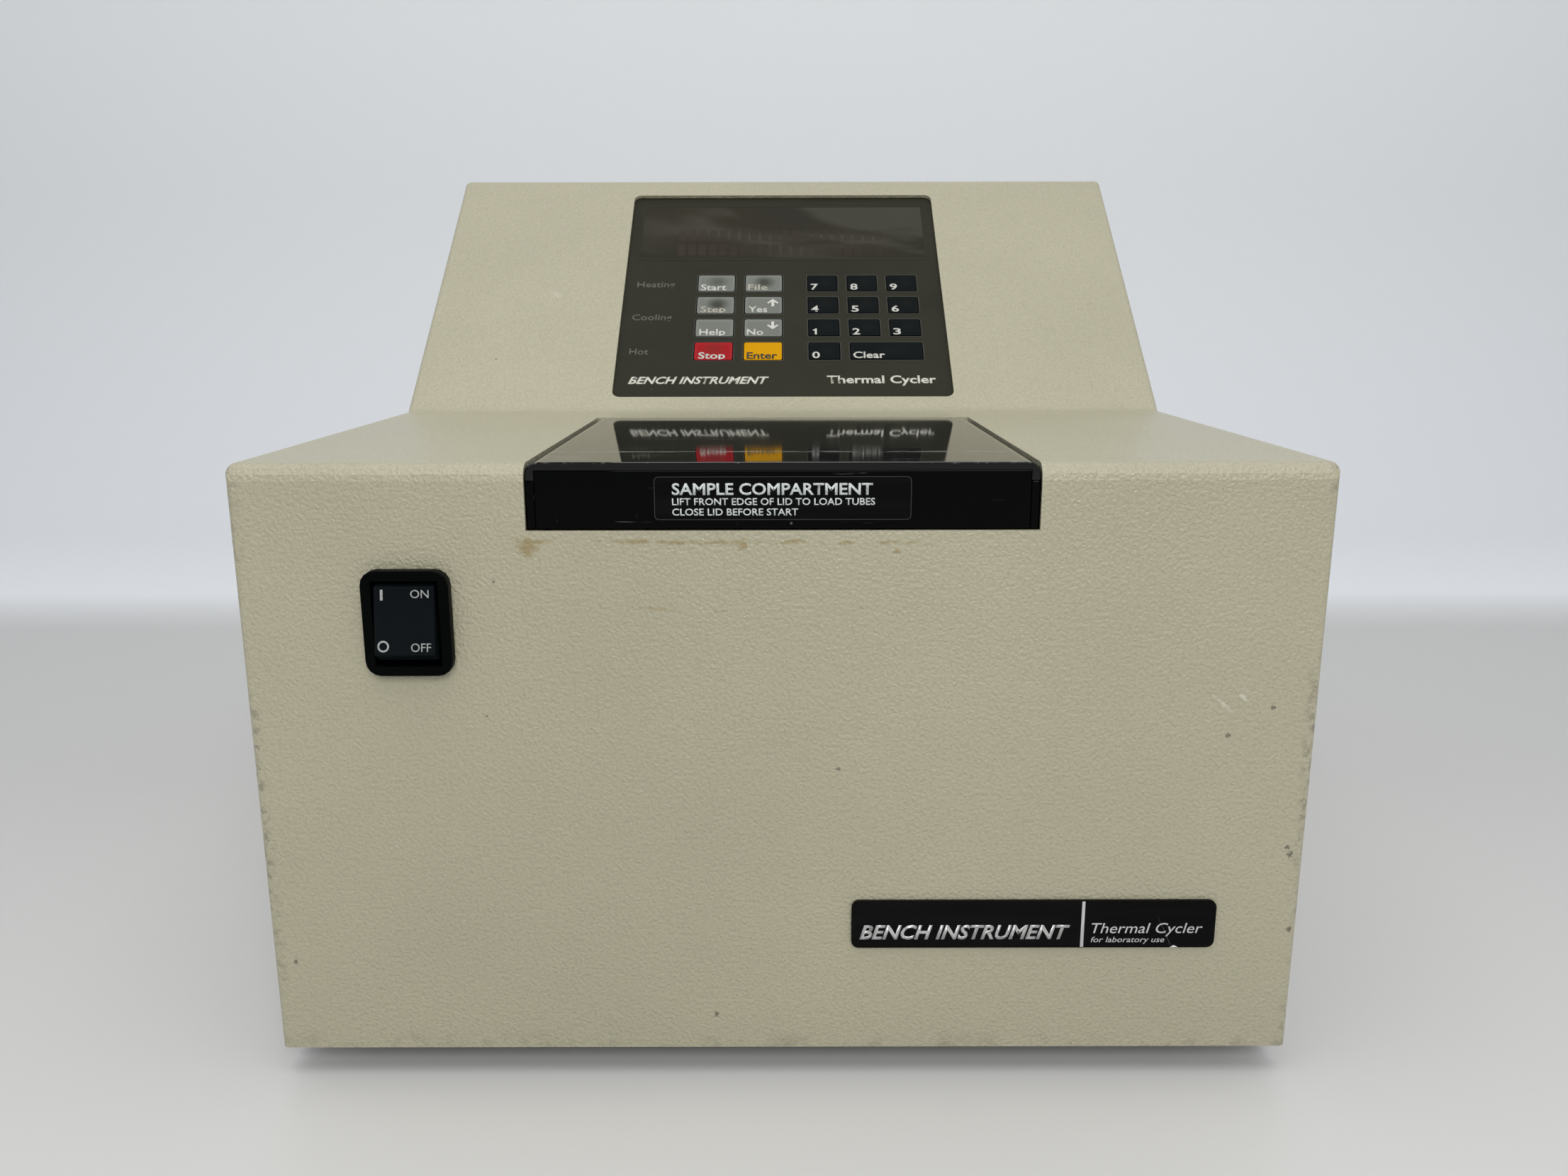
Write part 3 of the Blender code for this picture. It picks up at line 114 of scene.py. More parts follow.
# --- shader helper --------------------------------------------------------------------------------
class Finish:
    """One procedural material: a Principled shader and short calls that wire nodes into it."""

    def __init__(self, name, base, roughness, metallic=0.0, **more):
        self.material = bpy.data.materials.new(name)
        self.material.use_nodes = True
        self.nodes = self.material.node_tree.nodes
        self.shader = self.nodes["Principled BSDF"]
        self.shader.inputs["Base Color"].default_value = (*base, 1.0)
        self.shader.inputs["Roughness"].default_value = roughness
        self.shader.inputs["Metallic"].default_value = metallic
        for socket, value in more.items():
            self.shader.inputs[socket.replace("_", " ")].default_value = value
        self.coordinates = self.nodes.new("ShaderNodeTexCoord")
        self.place = self.coordinates.outputs["Object"]
        self.normal = None

    def link(self, source, socket):
        """Wires a socket to another, or gives it a fixed value."""
        if isinstance(source, bpy.types.NodeSocket):
            self.material.node_tree.links.new(source, socket)
        elif socket.type == "RGBA":
            socket.default_value = (*source, 1.0)
        else:
            socket.default_value = source

    def xyz(self):
        """The object's coordinates, one by one."""
        split = self.nodes.new("ShaderNodeSeparateXYZ")
        self.link(self.place, split.inputs[0])
        return split.outputs["X"], split.outputs["Y"], split.outputs["Z"]

    def scaled(self, scale, turn=0.0):
        """Coordinates turned about Y, then multiplied by a different number along each axis."""
        turned = self.nodes.new("ShaderNodeVectorRotate")
        turned.rotation_type = "Y_AXIS"
        turned.inputs["Angle"].default_value = math.radians(turn)
        self.link(self.place, turned.inputs["Vector"])
        mapped = self.nodes.new("ShaderNodeMapping")
        mapped.inputs["Scale"].default_value = scale
        self.link(turned.outputs["Vector"], mapped.inputs["Vector"])
        return mapped.outputs["Vector"]

    def noise(self, scale, detail=2.0, roughness=0.5, distortion=0.0, source=None):
        """Soft noise over the object's coordinates, or over the given ones."""
        made = self.nodes.new("ShaderNodeTexNoise")
        made.inputs["Scale"].default_value = scale
        made.inputs["Detail"].default_value = detail
        made.inputs["Roughness"].default_value = roughness
        made.inputs["Distortion"].default_value = distortion
        self.link(source or self.place, made.inputs["Vector"])
        return made.outputs["Fac"]

    def cells(self, scale):
        """Distance to the nearest of scattered points."""
        made = self.nodes.new("ShaderNodeTexVoronoi")
        made.inputs["Scale"].default_value = scale
        self.link(self.place, made.inputs["Vector"])
        return made.outputs["Distance"]

    def fade(self, value, start, end, low=0.0, high=1.0):
        """value from start to end becomes low to high, held at both ends."""
        made = self.nodes.new("ShaderNodeMapRange")
        self.link(value, made.inputs["Value"])
        for socket, number in zip(("From Min", "From Max", "To Min", "To Max"), (start, end, low, high)):
            made.inputs[socket].default_value = number
        return made.outputs["Result"]

    def calc(self, operation, a, b=0.0):
        """One Math node."""
        made = self.nodes.new("ShaderNodeMath")
        made.operation = operation
        self.link(a, made.inputs[0])
        self.link(b, made.inputs[1])
        return made.outputs[0]

    def times(self, *values):
        """All the values multiplied."""
        total = values[0]
        for value in values[1:]:
            total = self.calc("MULTIPLY", total, value)
        return total

    def either(self, *values):
        """The highest of the values."""
        total = values[0]
        for value in values[1:]:
            total = self.calc("MAXIMUM", total, value)
        return total

    def band(self, value, centre, half, soft):
        """1 within half of centre, falling to 0 over soft."""
        away = self.calc("ABSOLUTE", self.calc("SUBTRACT", value, centre))
        return self.fade(away, half, half + soft, 1.0, 0.0)

    def spot(self, centre, radius, soft, ragged=0.0, scale=900.0):
        """A blot round a point, with a ragged edge."""
        away = self.nodes.new("ShaderNodeVectorMath")
        away.operation = "DISTANCE"
        self.link(self.place, away.inputs[0])
        away.inputs[1].default_value = centre
        distance = away.outputs["Value"]
        if ragged:
            wobble = self.fade(self.noise(scale, 3.0), 0.3, 0.7, -ragged, ragged)
            distance = self.calc("ADD", distance, wobble)
        return self.fade(distance, radius, radius + soft, 1.0, 0.0)

    def mix(self, factor, a, b):
        """Colour a where the factor is 0, colour b where it is 1."""
        made = self.nodes.new("ShaderNodeMix")
        made.data_type = "RGBA"
        colour_a, colour_b, colour_out = made.inputs[6], made.inputs[7], made.outputs[2]
        self.link(factor, made.inputs["Factor"])
        self.link(a, colour_a)
        self.link(b, colour_b)
        return colour_out

    def bump(self, height, distance, strength=1.0):
        """Adds one layer of relief to those already there."""
        made = self.nodes.new("ShaderNodeBump")
        made.inputs["Distance"].default_value = distance
        made.inputs["Strength"].default_value = strength
        self.link(height, made.inputs["Height"])
        if self.normal:
            self.link(self.normal, made.inputs["Normal"])
        self.normal = made.outputs["Normal"]
        self.link(self.normal, self.shader.inputs["Normal"])

    def colour(self, source):
        self.link(source, self.shader.inputs["Base Color"])

    def rough(self, source):
        self.link(source, self.shader.inputs["Roughness"])


def shade(colour, factor):
    """A colour made darker or paler."""
    return tuple(channel * factor for channel in colour)


# --- materials ------------------------------------------------------------------------------------
def cover_paint():
    """Pebbled beige powder paint, with stains, rubbed corners, chips and a few chalky scratches."""
    f = Finish("cover_paint", BEIGE, 0.42, Specular_IOR_Level=0.5)
    x, y, z = f.xyz()
    cloud = f.noise(7.0, 4.0, 0.6)
    tone = f.mix(f.fade(cloud, 0.35, 0.65), shade(BEIGE, 0.955), shade(BEIGE, 1.04))
    pebble = f.noise(880.0, 2.0, 0.5, 0.25)
    # the pebble's hollows are painted darker: painted shade
    tone = f.mix(f.fade(pebble, 0.33, 0.58, 0.20, 0.0), tone, shade(BEIGE, 0.62))
    on_face = f.fade(y, FRONT_Y + 2 * MM, FRONT_Y + 4 * MM, 1.0, 0.0)

    # yellowed drips along the notch under the lid
    wander = f.fade(f.noise(28.0, 2.0), 0.3, 0.7, -1.3 * MM, 1.3 * MM)
    line = f.band(f.calc("ADD", z, wander), NOTCH_Z - 3.4 * MM, 0.15 * MM, 0.75 * MM)
    span = f.band(x, -18 * MM, 56 * MM, 10 * MM)
    broken = f.fade(f.noise(150.0, 3.0, 0.7), 0.46, 0.58)
    stain = f.times(line, span, broken, on_face)
    corner = f.spot((-76.5 * MM, FRONT_Y, NOTCH_Z - 5.2 * MM), 1.2 * MM, 2.6 * MM, 1.6 * MM, 420)
    spot_a = f.spot((-12 * MM, FRONT_Y, NOTCH_Z - 4.2 * MM), 0.7 * MM, 1.4 * MM, 0.9 * MM, 700)
    spot_b = f.spot((34 * MM, FRONT_Y, NOTCH_Z - 6.2 * MM), 0.3 * MM, 1.1 * MM, 0.7 * MM, 900)
    second = f.times(
        f.band(f.calc("ADD", z, wander), NOTCH_Z - 24 * MM, 0.1 * MM, 0.6 * MM),
        f.band(x, 10 * MM, 62 * MM, 12 * MM),
        f.fade(f.noise(90.0, 3.0, 0.7), 0.55, 0.66),
        on_face,
    )
    stain = f.either(stain, corner, spot_a, spot_b, f.times(second, 0.6))
    tone = f.mix(f.times(stain, 0.72), tone, (0.27, 0.20, 0.075))

    # grime rubbed into the upright corners, and darker in patches towards the lower edge
    beside = f.either(f.fade(x, 160.4 * MM, 163.6 * MM), f.fade(x, -160.4 * MM, -163.6 * MM))
    beside = f.times(beside, f.fade(y, FRONT_Y + 7 * MM, FRONT_Y + 3 * MM))
    darkened = f.times(beside, f.fade(f.noise(330.0, 4.0, 0.75), 0.50, 0.60))
    patch = f.fade(f.noise(24.0, 2.0), 0.38, 0.52)
    low = f.fade(z, COVER_Z + 7 * MM, COVER_Z + 0.5 * MM)
    low = f.times(low, f.fade(f.noise(120.0, 4.0, 0.7), 0.48, 0.62))
    darkened = f.either(f.times(darkened, patch), f.times(low, 0.5))
    tone = f.mix(f.times(darkened, 0.52), tone, (0.105, 0.090, 0.070))

    # small chips and specks of dirt
    speck = f.fade(f.cells(58.0), 0.034, 0.018)
    speck = f.times(speck, f.fade(f.noise(13.0, 1.0), 0.50, 0.60))
    chips = [
        f.spot((px * MM, FRONT_Y, COVER_Z + pz * MM), r * MM, 0.5 * MM, 0.5 * MM, 1500)
        for px, pz, r in CHIPS
    ]
    tone = f.mix(f.times(f.either(speck, *chips), 0.75), tone, (0.07, 0.058, 0.045))

    # chalky scuffs
    strokes = f.fade(f.noise(330.0, 3.0, 0.65, 0.0, f.scaled((0.28, 0.6, 1.7), -38.0)), 0.575, 0.64)
    areas = [f.spot(Vector(place), reach * MM, 5 * MM) for place, reach in SCUFFS]
    chalk = f.times(f.either(*areas), strokes)
    tone = f.mix(f.times(chalk, 0.55), tone, (0.68, 0.66, 0.58))
    f.colour(tone)
    f.rough(f.fade(cloud, 0.3, 0.7, 0.30, 0.38))
    f.bump(f.fade(pebble, 0.30, 0.70), 0.24 * MM, 1.0)
    f.bump(f.noise(2400.0, 2.0), 0.03 * MM, 0.5)
    return f.material


def zinc_steel():
    """Zinc-plated sheet: faint spangle and rolling lines."""
    f = Finish("zinc_steel", (0.52, 0.52, 0.50), 0.38, 1.0)
    spangle = f.cells(95.0)
    lines = f.noise(60.0, 3.0, 0.6, 0.0, f.scaled((1.0, 1.0, 26.0)))
    tone = f.mix(f.fade(spangle, 0.1, 0.7), (0.55, 0.55, 0.53), (0.47, 0.47, 0.46))
    f.colour(f.mix(f.fade(lines, 0.4, 0.7, 0.0, 0.35), tone, (0.36, 0.36, 0.35)))
    f.rough(f.fade(lines, 0.3, 0.7, 0.30, 0.48))
    f.bump(lines, 0.02 * MM, 0.4)
    return f.material


def rubber():
    """Matt foot rubber, dusty towards the bench."""
    f = Finish("rubber", (0.016, 0.016, 0.016), 0.85)
    dust = f.times(f.fade(f.xyz()[2], 3 * MM, 0.2 * MM), f.fade(f.noise(300.0, 3.0), 0.4, 0.7))
    f.colour(f.mix(f.times(dust, 0.6), (0.016, 0.016, 0.016), (0.16, 0.15, 0.13)))
    f.bump(f.noise(1400.0, 3.0), 0.08 * MM, 0.5)
    return f.material


def black_acrylic(name, shine):
    """Polished black sheet: hairline scratches, a glued seam behind the front edge, scuffed edges, and a pale rim
    along the top front edge that is partly chips and partly a painted highlight.
    """
    f = Finish(name, (0.0010, 0.0012, 0.0011), 0.05, Specular_IOR_Level=shine)
    x, y, z = f.xyz()
    front = LID_LOW.y
    on_top = f.fade(z, LID_TOP - 0.5 * MM, LID_TOP - 0.1 * MM)
    drift = f.fade(f.noise(22.0, 2.0), 0.3, 0.7, -0.7 * MM, 0.7 * MM)
    along = f.calc("ADD", y, drift)
    seam = f.either(
        f.band(along, front + 26.8 * MM, 0.16 * MM, 0.26 * MM),
        f.times(f.band(along, front + 24.9 * MM, 0.12 * MM, 0.22 * MM), 0.8),
    )
    broken = f.fade(f.noise(190.0, 3.0, 0.7, 0.0, f.scaled((0.35, 1.0, 1.0))), 0.40, 0.56)
    seam = f.times(seam, on_top, broken)
    fine = f.noise(55.0, 4.0, 0.7, 1.2, f.scaled((0.25, 9.0, 9.0)))
    cross = f.noise(48.0, 4.0, 0.7, 1.5, f.scaled((8.0, 0.3, 1.0)))
    near_front = f.fade(y, front + 42 * MM, front + 8 * MM, 0.25, 1.0)
    scratches = f.times(f.either(f.fade(fine, 0.665, 0.700), f.fade(cross, 0.70, 0.74)), near_front)
    aside = f.calc("ABSOLUTE", x)
    behind = f.fade(y, front + 30 * MM, front + 24 * MM)
    corner = f.times(f.fade(aside, 54 * MM, 70 * MM), behind)
    scuffed = f.times(corner, on_top, f.fade(f.noise(95.0, 5.0, 0.75, 1.0), 0.50, 0.62))
    ragged = f.noise(260.0, 3.0, 0.7)
    to_corner = f.fade(aside, 58 * MM, 72 * MM)
    chips_and_edge_highlight = f.either(f.times(f.fade(ragged, 0.52, 0.66), to_corner), f.fade(ragged, 0.60, 0.70))
    # the pale rim along the top front edge: partly chips, partly a painted highlight on the edge
    edge = f.fade(y, front + 0.9 * MM, front + 0.3 * MM)
    rim = f.times(edge, f.fade(z, LID_TOP - 0.7 * MM, LID_TOP - 0.3 * MM), chips_and_edge_highlight)
    specks = f.fade(f.cells(75.0), 0.035, 0.018)
    marks = f.either(f.times(seam, 0.95), f.times(scratches, 0.35), f.times(rim, 0.6), f.times(specks, 0.4))
    marks = f.either(marks, f.times(scuffed, 0.30))
    f.colour(f.mix(marks, (0.0010, 0.0012, 0.0011), (0.30, 0.31, 0.29)))
    haze = f.fade(f.noise(14.0, 3.0), 0.35, 0.75, 0.035, 0.095)
    f.rough(f.calc("ADD", haze, f.times(marks, 0.45)))
    f.bump(marks, 0.03 * MM, 0.6)
    f.bump(f.noise(5.0, 1.0), 0.25 * MM, 0.25)
    return f.material


def moulded(name, base, roughness, grain=0.05):
    """Moulded plastic with a fine spark-eroded grain."""
    f = Finish(name, base, roughness, Specular_IOR_Level=0.035)
    fine = f.noise(2300.0, 2.0)
    cloud = f.noise(45.0, 3.0)
    f.colour(f.mix(f.fade(cloud, 0.35, 0.7), shade(base, 0.85), shade(base, 1.2)))
    f.rough(f.fade(cloud, 0.3, 0.7, roughness - 0.06, roughness + 0.08))
    f.bump(fine, grain * MM, 0.6)
    return f.material


def overlay_film(name="overlay_film"):
    """Dark olive film, back-printed: soft cloudiness, pin-point dust, a dull grain."""
    f = Finish(name, (0.028, 0.028, 0.0195), 0.42, Specular_IOR_Level=0.05)
    cloud = f.noise(24.0, 4.0, 0.6)
    dust = f.fade(f.cells(130.0), 0.045, 0.020)
    dust = f.times(dust, f.fade(f.noise(19.0, 1.0), 0.52, 0.60))
    tone = f.mix(f.fade(cloud, 0.3, 0.7), (0.0250, 0.0250, 0.0175), (0.0305, 0.0300, 0.0205))
    f.colour(f.mix(f.times(dust, 0.35), tone, (0.30, 0.30, 0.27)))
    f.rough(f.fade(cloud, 0.3, 0.7, 0.36, 0.46))
    f.bump(f.noise(2600.0, 2.0), 0.02 * MM, 0.35)
    return f.material


def smoked_window():
    """Smoked display window: lighter hazy streaks, a painted reflection, run across it and roughen it, and a warm
    tint shows through.
    """
    f = Finish("smoked_window", (0.022, 0.021, 0.0145), 0.20, Specular_IOR_Level=0.08)
    reflection_sweep = f.noise(11.0, 2.0, 0.45, 2.2, f.scaled((0.55, 2.2, 2.2)))
    haze = f.fade(reflection_sweep, 0.44, 0.56)
    warm = f.fade(f.noise(14.0, 1.0), 0.40, 0.60)
    tone = f.mix(warm, (0.0230, 0.0225, 0.0160), (0.0285, 0.0240, 0.0155))
    # the lighter streaks are a painted reflection; the roughness follows them
    f.colour(f.mix(f.times(haze, 0.6), tone, (0.062, 0.060, 0.045)))
    f.rough(f.fade(haze, 0.0, 1.0, 0.12, 0.26))
    f.bump(f.noise(30.0, 2.0), 0.02 * MM, 0.3)
    return f.material


def key_film(name, base, rim, worn_centre, worn):
    """A key's printed film: a paler rim, a soft dark thumb mark over the snap dome, fine grain."""
    f = Finish(name, base, 0.42, Specular_IOR_Level=0.04)
    spread = f.nodes.new("ShaderNodeSeparateXYZ")
    f.link(f.coordinates.outputs["Generated"], spread.inputs[0])
    across, up = spread.outputs["X"], spread.outputs["Z"]
    away_x = f.calc("ABSOLUTE", f.calc("SUBTRACT", across, 0.5))
    away_z = f.calc("ABSOLUTE", f.calc("SUBTRACT", up, 0.5))
    edge = f.either(f.fade(away_x, 0.40, 0.485), f.fade(away_z, 0.33, 0.46))
    tone = f.mix(f.times(edge, 0.8), base, rim)
    dx = f.calc("MULTIPLY", f.calc("SUBTRACT", across, worn_centre[0]), 1.25)
    dz = f.calc("SUBTRACT", up, worn_centre[1])
    reach = f.calc("SQRT", f.calc("ADD", f.times(dx, dx), f.times(dz, dz)))
    patchy = f.fade(f.noise(260.0, 2.0), 0.3, 0.7, 0.8, 1.0)
    thumb = f.times(f.fade(reach, 0.10, 0.42, 1.0, 0.0), patchy, worn)
    f.colour(f.mix(thumb, tone, (0.034, 0.033, 0.024)))
    f.rough(f.fade(f.noise(60.0, 3.0), 0.3, 0.7, 0.36, 0.48))
    f.bump(f.noise(2600.0, 2.0), 0.02 * MM, 0.35)
    return f.material


def ink(name, colour, roughness=0.45, worn=0.0, grain=900.0):
    """Printed ink; worn is how much of it has rubbed thin."""
    f = Finish(name, colour, roughness)
    thin = f.fade(f.noise(grain, 3.0, 0.7), 0.5, 0.66, 0.0, worn)
    f.colour(f.mix(thin, colour, shade(colour, 0.22)))
    f.rough(f.fade(f.noise(700.0, 2.0), 0.3, 0.7, roughness - 0.08, roughness + 0.08))
    return f.material


def label_film():
    """Black printed film with a dull satin face and faint rubbing."""
    f = Finish("label_film", (0.0024, 0.0024, 0.0026), 0.30, Specular_IOR_Level=0.06)
    rub = f.noise(32.0, 4.0, 0.6, 0.0, f.scaled((0.4, 1.0, 6.0)))
    f.colour(f.mix(f.fade(rub, 0.42, 0.72), (0.0020, 0.0020, 0.0022), (0.0048, 0.0048, 0.0048)))
    f.rough(f.fade(rub, 0.3, 0.7, 0.24, 0.38))
    f.bump(f.noise(1800.0, 2.0), 0.01 * MM, 0.3)
    return f.material


def brushed(name, base, roughness, stretch, metallic=1.0):
    """Metal with fine marks stretched across one axis."""
    f = Finish(name, base, roughness, metallic)
    lines = f.noise(120.0, 3.0, 0.7, 0.0, f.scaled(stretch))
    cloud = f.noise(30.0, 3.0)
    tone = f.mix(f.fade(lines, 0.35, 0.7), shade(base, 1.06), shade(base, 0.78))
    f.colour(f.mix(f.fade(cloud, 0.4, 0.75, 0.0, 0.35), tone, shade(base, 0.62)))
    f.rough(f.fade(lines, 0.3, 0.7, roughness - 0.08, roughness + 0.10))
    f.bump(lines, 0.03 * MM, 0.4)
    return f.material


def foam():
    """Black insulating foam with open pores."""
    f = Finish("foam", (0.03, 0.03, 0.03), 0.95)
    pores = f.cells(900.0)
    # darker in the pores: painted shade in the hollows
    f.colour(f.mix(f.fade(pores, 0.05, 0.4), (0.010, 0.010, 0.010), (0.045, 0.045, 0.045)))
    f.bump(pores, 0.3 * MM, 0.8)
    return f.material


def circuit_board():
    """Solder mask with a faint pattern of tracks and pads."""
    f = Finish("circuit_board", (0.02, 0.11, 0.04), 0.4)
    grid = f.nodes.new("ShaderNodeTexBrick")
    grid.inputs["Scale"].default_value = 240.0
    grid.inputs["Mortar Size"].default_value = 0.03
    f.link(f.place, grid.inputs["Vector"])
    tracks = f.calc("SUBTRACT", 1.0, grid.outputs["Fac"])
    pads = f.fade(f.cells(330.0), 0.16, 0.10)
    tone = f.mix(f.times(tracks, 0.35), (0.012, 0.075, 0.028), (0.03, 0.16, 0.06))
    f.colour(f.mix(pads, tone, (0.52, 0.50, 0.42)))
    f.bump(tracks, 0.04 * MM, 0.4)
    return f.material


def wrapped_coil():
    """Laminated iron with a taped winding: lines across the stack."""
    f = Finish("transformer_iron", (0.19, 0.18, 0.17), 0.55, 0.5)
    wave = f.noise(90.0, 2.0, 0.6, 0.0, f.scaled((1.0, 12.0, 1.0)))
    f.colour(f.mix(f.fade(wave, 0.4, 0.6), (0.22, 0.21, 0.19), (0.10, 0.095, 0.09)))
    f.bump(wave, 0.15 * MM, 0.6)
    return f.material


# dirt on the front face: x and height in millimetres, radius in millimetres
CHIPS = (
    (160.5, 68, 0.6),
    (159.5, 70.5, 0.4),
    (162.5, 42, 0.5),
    (151.0, 117, 0.35),
    (-158.0, 31, 0.4),
    (-22.0, 12, 0.4),
    (137.8, 108, 0.3),
    (17.0, 97, 0.25),
)
# chalky scuffs: a place on the cover and how far they reach round it, in millimetres
SCUFFS = (
    ((139 * MM, FRONT_Y, COVER_Z + 116 * MM), 5),
    ((-112 * MM, FRONT_Y + 240 * MM, COVER_Z + 241 * MM), 3),
)


def paint_nodes():
    """Gives every CAD node its finish."""
    plastic = moulded("black_plastic", (0.0009, 0.0012, 0.0012), 0.42, 0.04)
    grey, rim = (0.166, 0.177, 0.155), (0.208, 0.216, 0.199)
    black, black_rim = (0.0034, 0.0052, 0.0058), (0.0044, 0.0062, 0.0066)
    finishes = {
        "cover_paint": cover_paint(),
        "zinc_steel": zinc_steel(),
        "rubber": rubber(),
        "black_acrylic": black_acrylic("black_acrylic", 0.32),
        "black_plastic": plastic,
        "overlay_film": overlay_film(),
        "smoked_window": smoked_window(),
        "key_grey": key_film("key_grey", grey, rim, (0.5, 0.62), 0.0),
        "key_black": key_film("key_black", black, black_rim, (0.6, 0.6), 0.1),
        "key_red": key_film("key_red", (0.315, 0.012, 0.015), (0.36, 0.020, 0.026), (0.5, 0.66), 0.30),
        "key_amber": key_film("key_amber", (0.59, 0.290, 0.0), (0.56, 0.275, 0.003), (0.5, 0.6), 0.0),
        "label_film": label_film(),
        "aluminium": brushed("aluminium", (0.58, 0.59, 0.60), 0.34, (1.0, 14.0, 1.0)),
        "foam": foam(),
        "copper": brushed("copper", (0.66, 0.29, 0.16), 0.30, (3.0, 3.0, 3.0)),
        "circuit_board": circuit_board(),
        "display_glass": moulded("display_glass", (0.045, 0.055, 0.055), 0.14, 0.0),
        "compressor_black": moulded("compressor_black", (0.010, 0.010, 0.011), 0.26, 0.06),
        "transformer_iron": wrapped_coil(),
        "heater_film": brushed("heater_film", (0.36, 0.15, 0.04), 0.4, (9.0, 1.0, 1.0), 0.0),
    }
    dull_acrylic = black_acrylic("dull_black_acrylic", 0.05)
    own = {
        "key_start": key_film("key_start_film", grey, rim, (0.52, 0.62), 0.55),
        "key_file": key_film("key_file_film", grey, rim, (0.52, 0.60), 0.85),
        "key_step": key_film("key_step_film", grey, rim, (0.55, 0.60), 0.95),
        "lid_front": dull_acrylic,
        "lid_wall_left": dull_acrylic,
        "lid_wall_right": dull_acrylic,
        # matt black so that the gaps round the keys show dark: painted shade
        "keypad_plate": moulded("keypad_plate_gap_shade", (0.004, 0.004, 0.0035), 0.6, 0.05),
        "power_rocker": moulded("rocker_plastic", (0.0050, 0.0070, 0.0084), 0.36, 0.05),
        "sample_block": brushed("sample_block_metal", (0.60, 0.61, 0.62), 0.30, (1.0, 16.0, 1.0)),
    }
    for row in frame["record"]["subparts"]:
        node = frame["nodes"][row["node"]]
        finish = own.get(row["node"]) or finishes[row["material_slot"]]
        node.data.materials.clear()
        node.data.materials.append(finish)


# --- pieces ---------------------------------------------------------------------------------------
def add(name, data, place, body, finish):
    """A named object from mesh or curve data, at a place, riding on a body."""
    made = bpy.data.objects.new(name, data)
    bpy.context.scene.collection.objects.link(made)
    made.matrix_world = place
    if finish:
        data.materials.clear()
        data.materials.append(finish)
    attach(made, body)
    return made


def mesh_from(name, shape):
    """A mesh with its normals outwards, from a bmesh that is then freed."""
    bmesh.ops.recalc_face_normals(shape, faces=shape.faces)
    mesh = bpy.data.meshes.new(name)
    shape.to_mesh(mesh)
    shape.free()
    return mesh


def outline_mesh(name, outlines, thick=PRINT_THICK):
    """Flat outlines of (u, v) points in metres, made thick upwards; an inner outline is a hole."""
    curve = bpy.data.curves.new(name + "_outline", "CURVE")
    curve.dimensions = "2D"
    curve.fill_mode = "BOTH"
    curve.extrude = thick / 2
    for outline in outlines:
        spline = curve.splines.new("POLY")
        spline.points.add(len(outline) - 1)
        for point, (u, v) in zip(spline.points, outline):
            point.co = (u, v, 0.0, 1.0)
        spline.use_cyclic_u = True
    return solid_from_curve(name, curve, thick / 2)


def solid_from_curve(name, curve, rise):
    """The curve's filled shape as one welded mesh, raised so that it stands on its plane."""
    holder = bpy.data.objects.new(name + "_holder", curve)
    bpy.context.scene.collection.objects.link(holder)
    bpy.context.view_layer.update()
    evaluated = holder.evaluated_get(bpy.context.evaluated_depsgraph_get())
    mesh = bpy.data.meshes.new_from_object(evaluated)
    bpy.data.objects.remove(holder)
    shape = bmesh.new()
    shape.from_mesh(mesh)
    bmesh.ops.remove_doubles(shape, verts=shape.verts, dist=1e-7)
    bmesh.ops.translate(shape, verts=shape.verts, vec=(0, 0, rise))
    return mesh_from(name, shape)


def rounded(width, height, radius, inset=0.0, steps=6):
    """Points of a rectangle with round corners about the origin."""
    points = []
    radius = max(radius - inset, 0.05 * MM)
    half_u, half_v = width / 2 - inset - radius, height / 2 - inset - radius
    for corner, (sign_u, sign_v) in enumerate(((1, 1), (-1, 1), (-1, -1), (1, -1))):
        for step in range(steps + 1):
            angle = (corner + step / steps) * math.pi / 2
            u = sign_u * half_u + radius * math.cos(angle)
            v = sign_v * half_v + radius * math.sin(angle)
            points.append((u, v))
    return points


def circle(radius, steps=28):
    """Points of a circle about the origin."""
    angles = [2 * math.pi * k / steps for k in range(steps)]
    return [(radius * math.cos(angle), radius * math.sin(angle)) for angle in angles]


def words(name, text, place, size, body, finish, slant=0.0, weight=0.0, align="LEFT", lowest=None):
    """Printed words, fitted to a (width, capital height) box whose lower left corner is the place.

    What hangs further below the place than lowest is cut off.
    """
    curve = bpy.data.curves.new(name + "_text", "FONT")
    curve.body = text
    curve.shear = slant
    curve.offset = weight
    curve.resolution_u = 3
    curve.fill_mode = "FRONT"
    curve.extrude = 0.0
    mesh = solid_from_curve(name, curve, 0.0)
    probe = bpy.data.curves.new(name + "_probe", "FONT")
    probe.body = "H"
    capital = solid_from_curve(name + "_probe", probe, 0.0)
    tall = max(v.co.y for v in capital.vertices) - min(v.co.y for v in capital.vertices)
    low = min(v.co.x for v in mesh.vertices)
    wide = max(v.co.x for v in mesh.vertices) - low
    bpy.data.meshes.remove(capital)
    shape = bmesh.new()
    shape.from_mesh(mesh)
    bpy.data.meshes.remove(mesh)
    shift = {"LEFT": low, "CENTER": low + wide / 2, "RIGHT": low + wide}[align]
    bmesh.ops.translate(shape, verts=shape.verts, vec=(-shift, 0, 0))
    bmesh.ops.scale(shape, verts=shape.verts, vec=(size[0] / wide, size[1] / tall, 1.0))
    if lowest is not None:
        whole = [*shape.verts, *shape.edges, *shape.faces]
        cut_at, upwards = (0, lowest, 0), (0, 1, 0)
        bmesh.ops.bisect_plane(shape, geom=whole, plane_co=cut_at, plane_no=upwards, clear_inner=True)
    raised = bmesh.ops.extrude_face_region(shape, geom=list(shape.faces))["geom"]
    moved = [item for item in raised if isinstance(item, bmesh.types.BMVert)]
    bmesh.ops.translate(shape, verts=moved, vec=(0, 0, PRINT_THICK))
    return add(name, mesh_from(name, shape), place, body, finish)


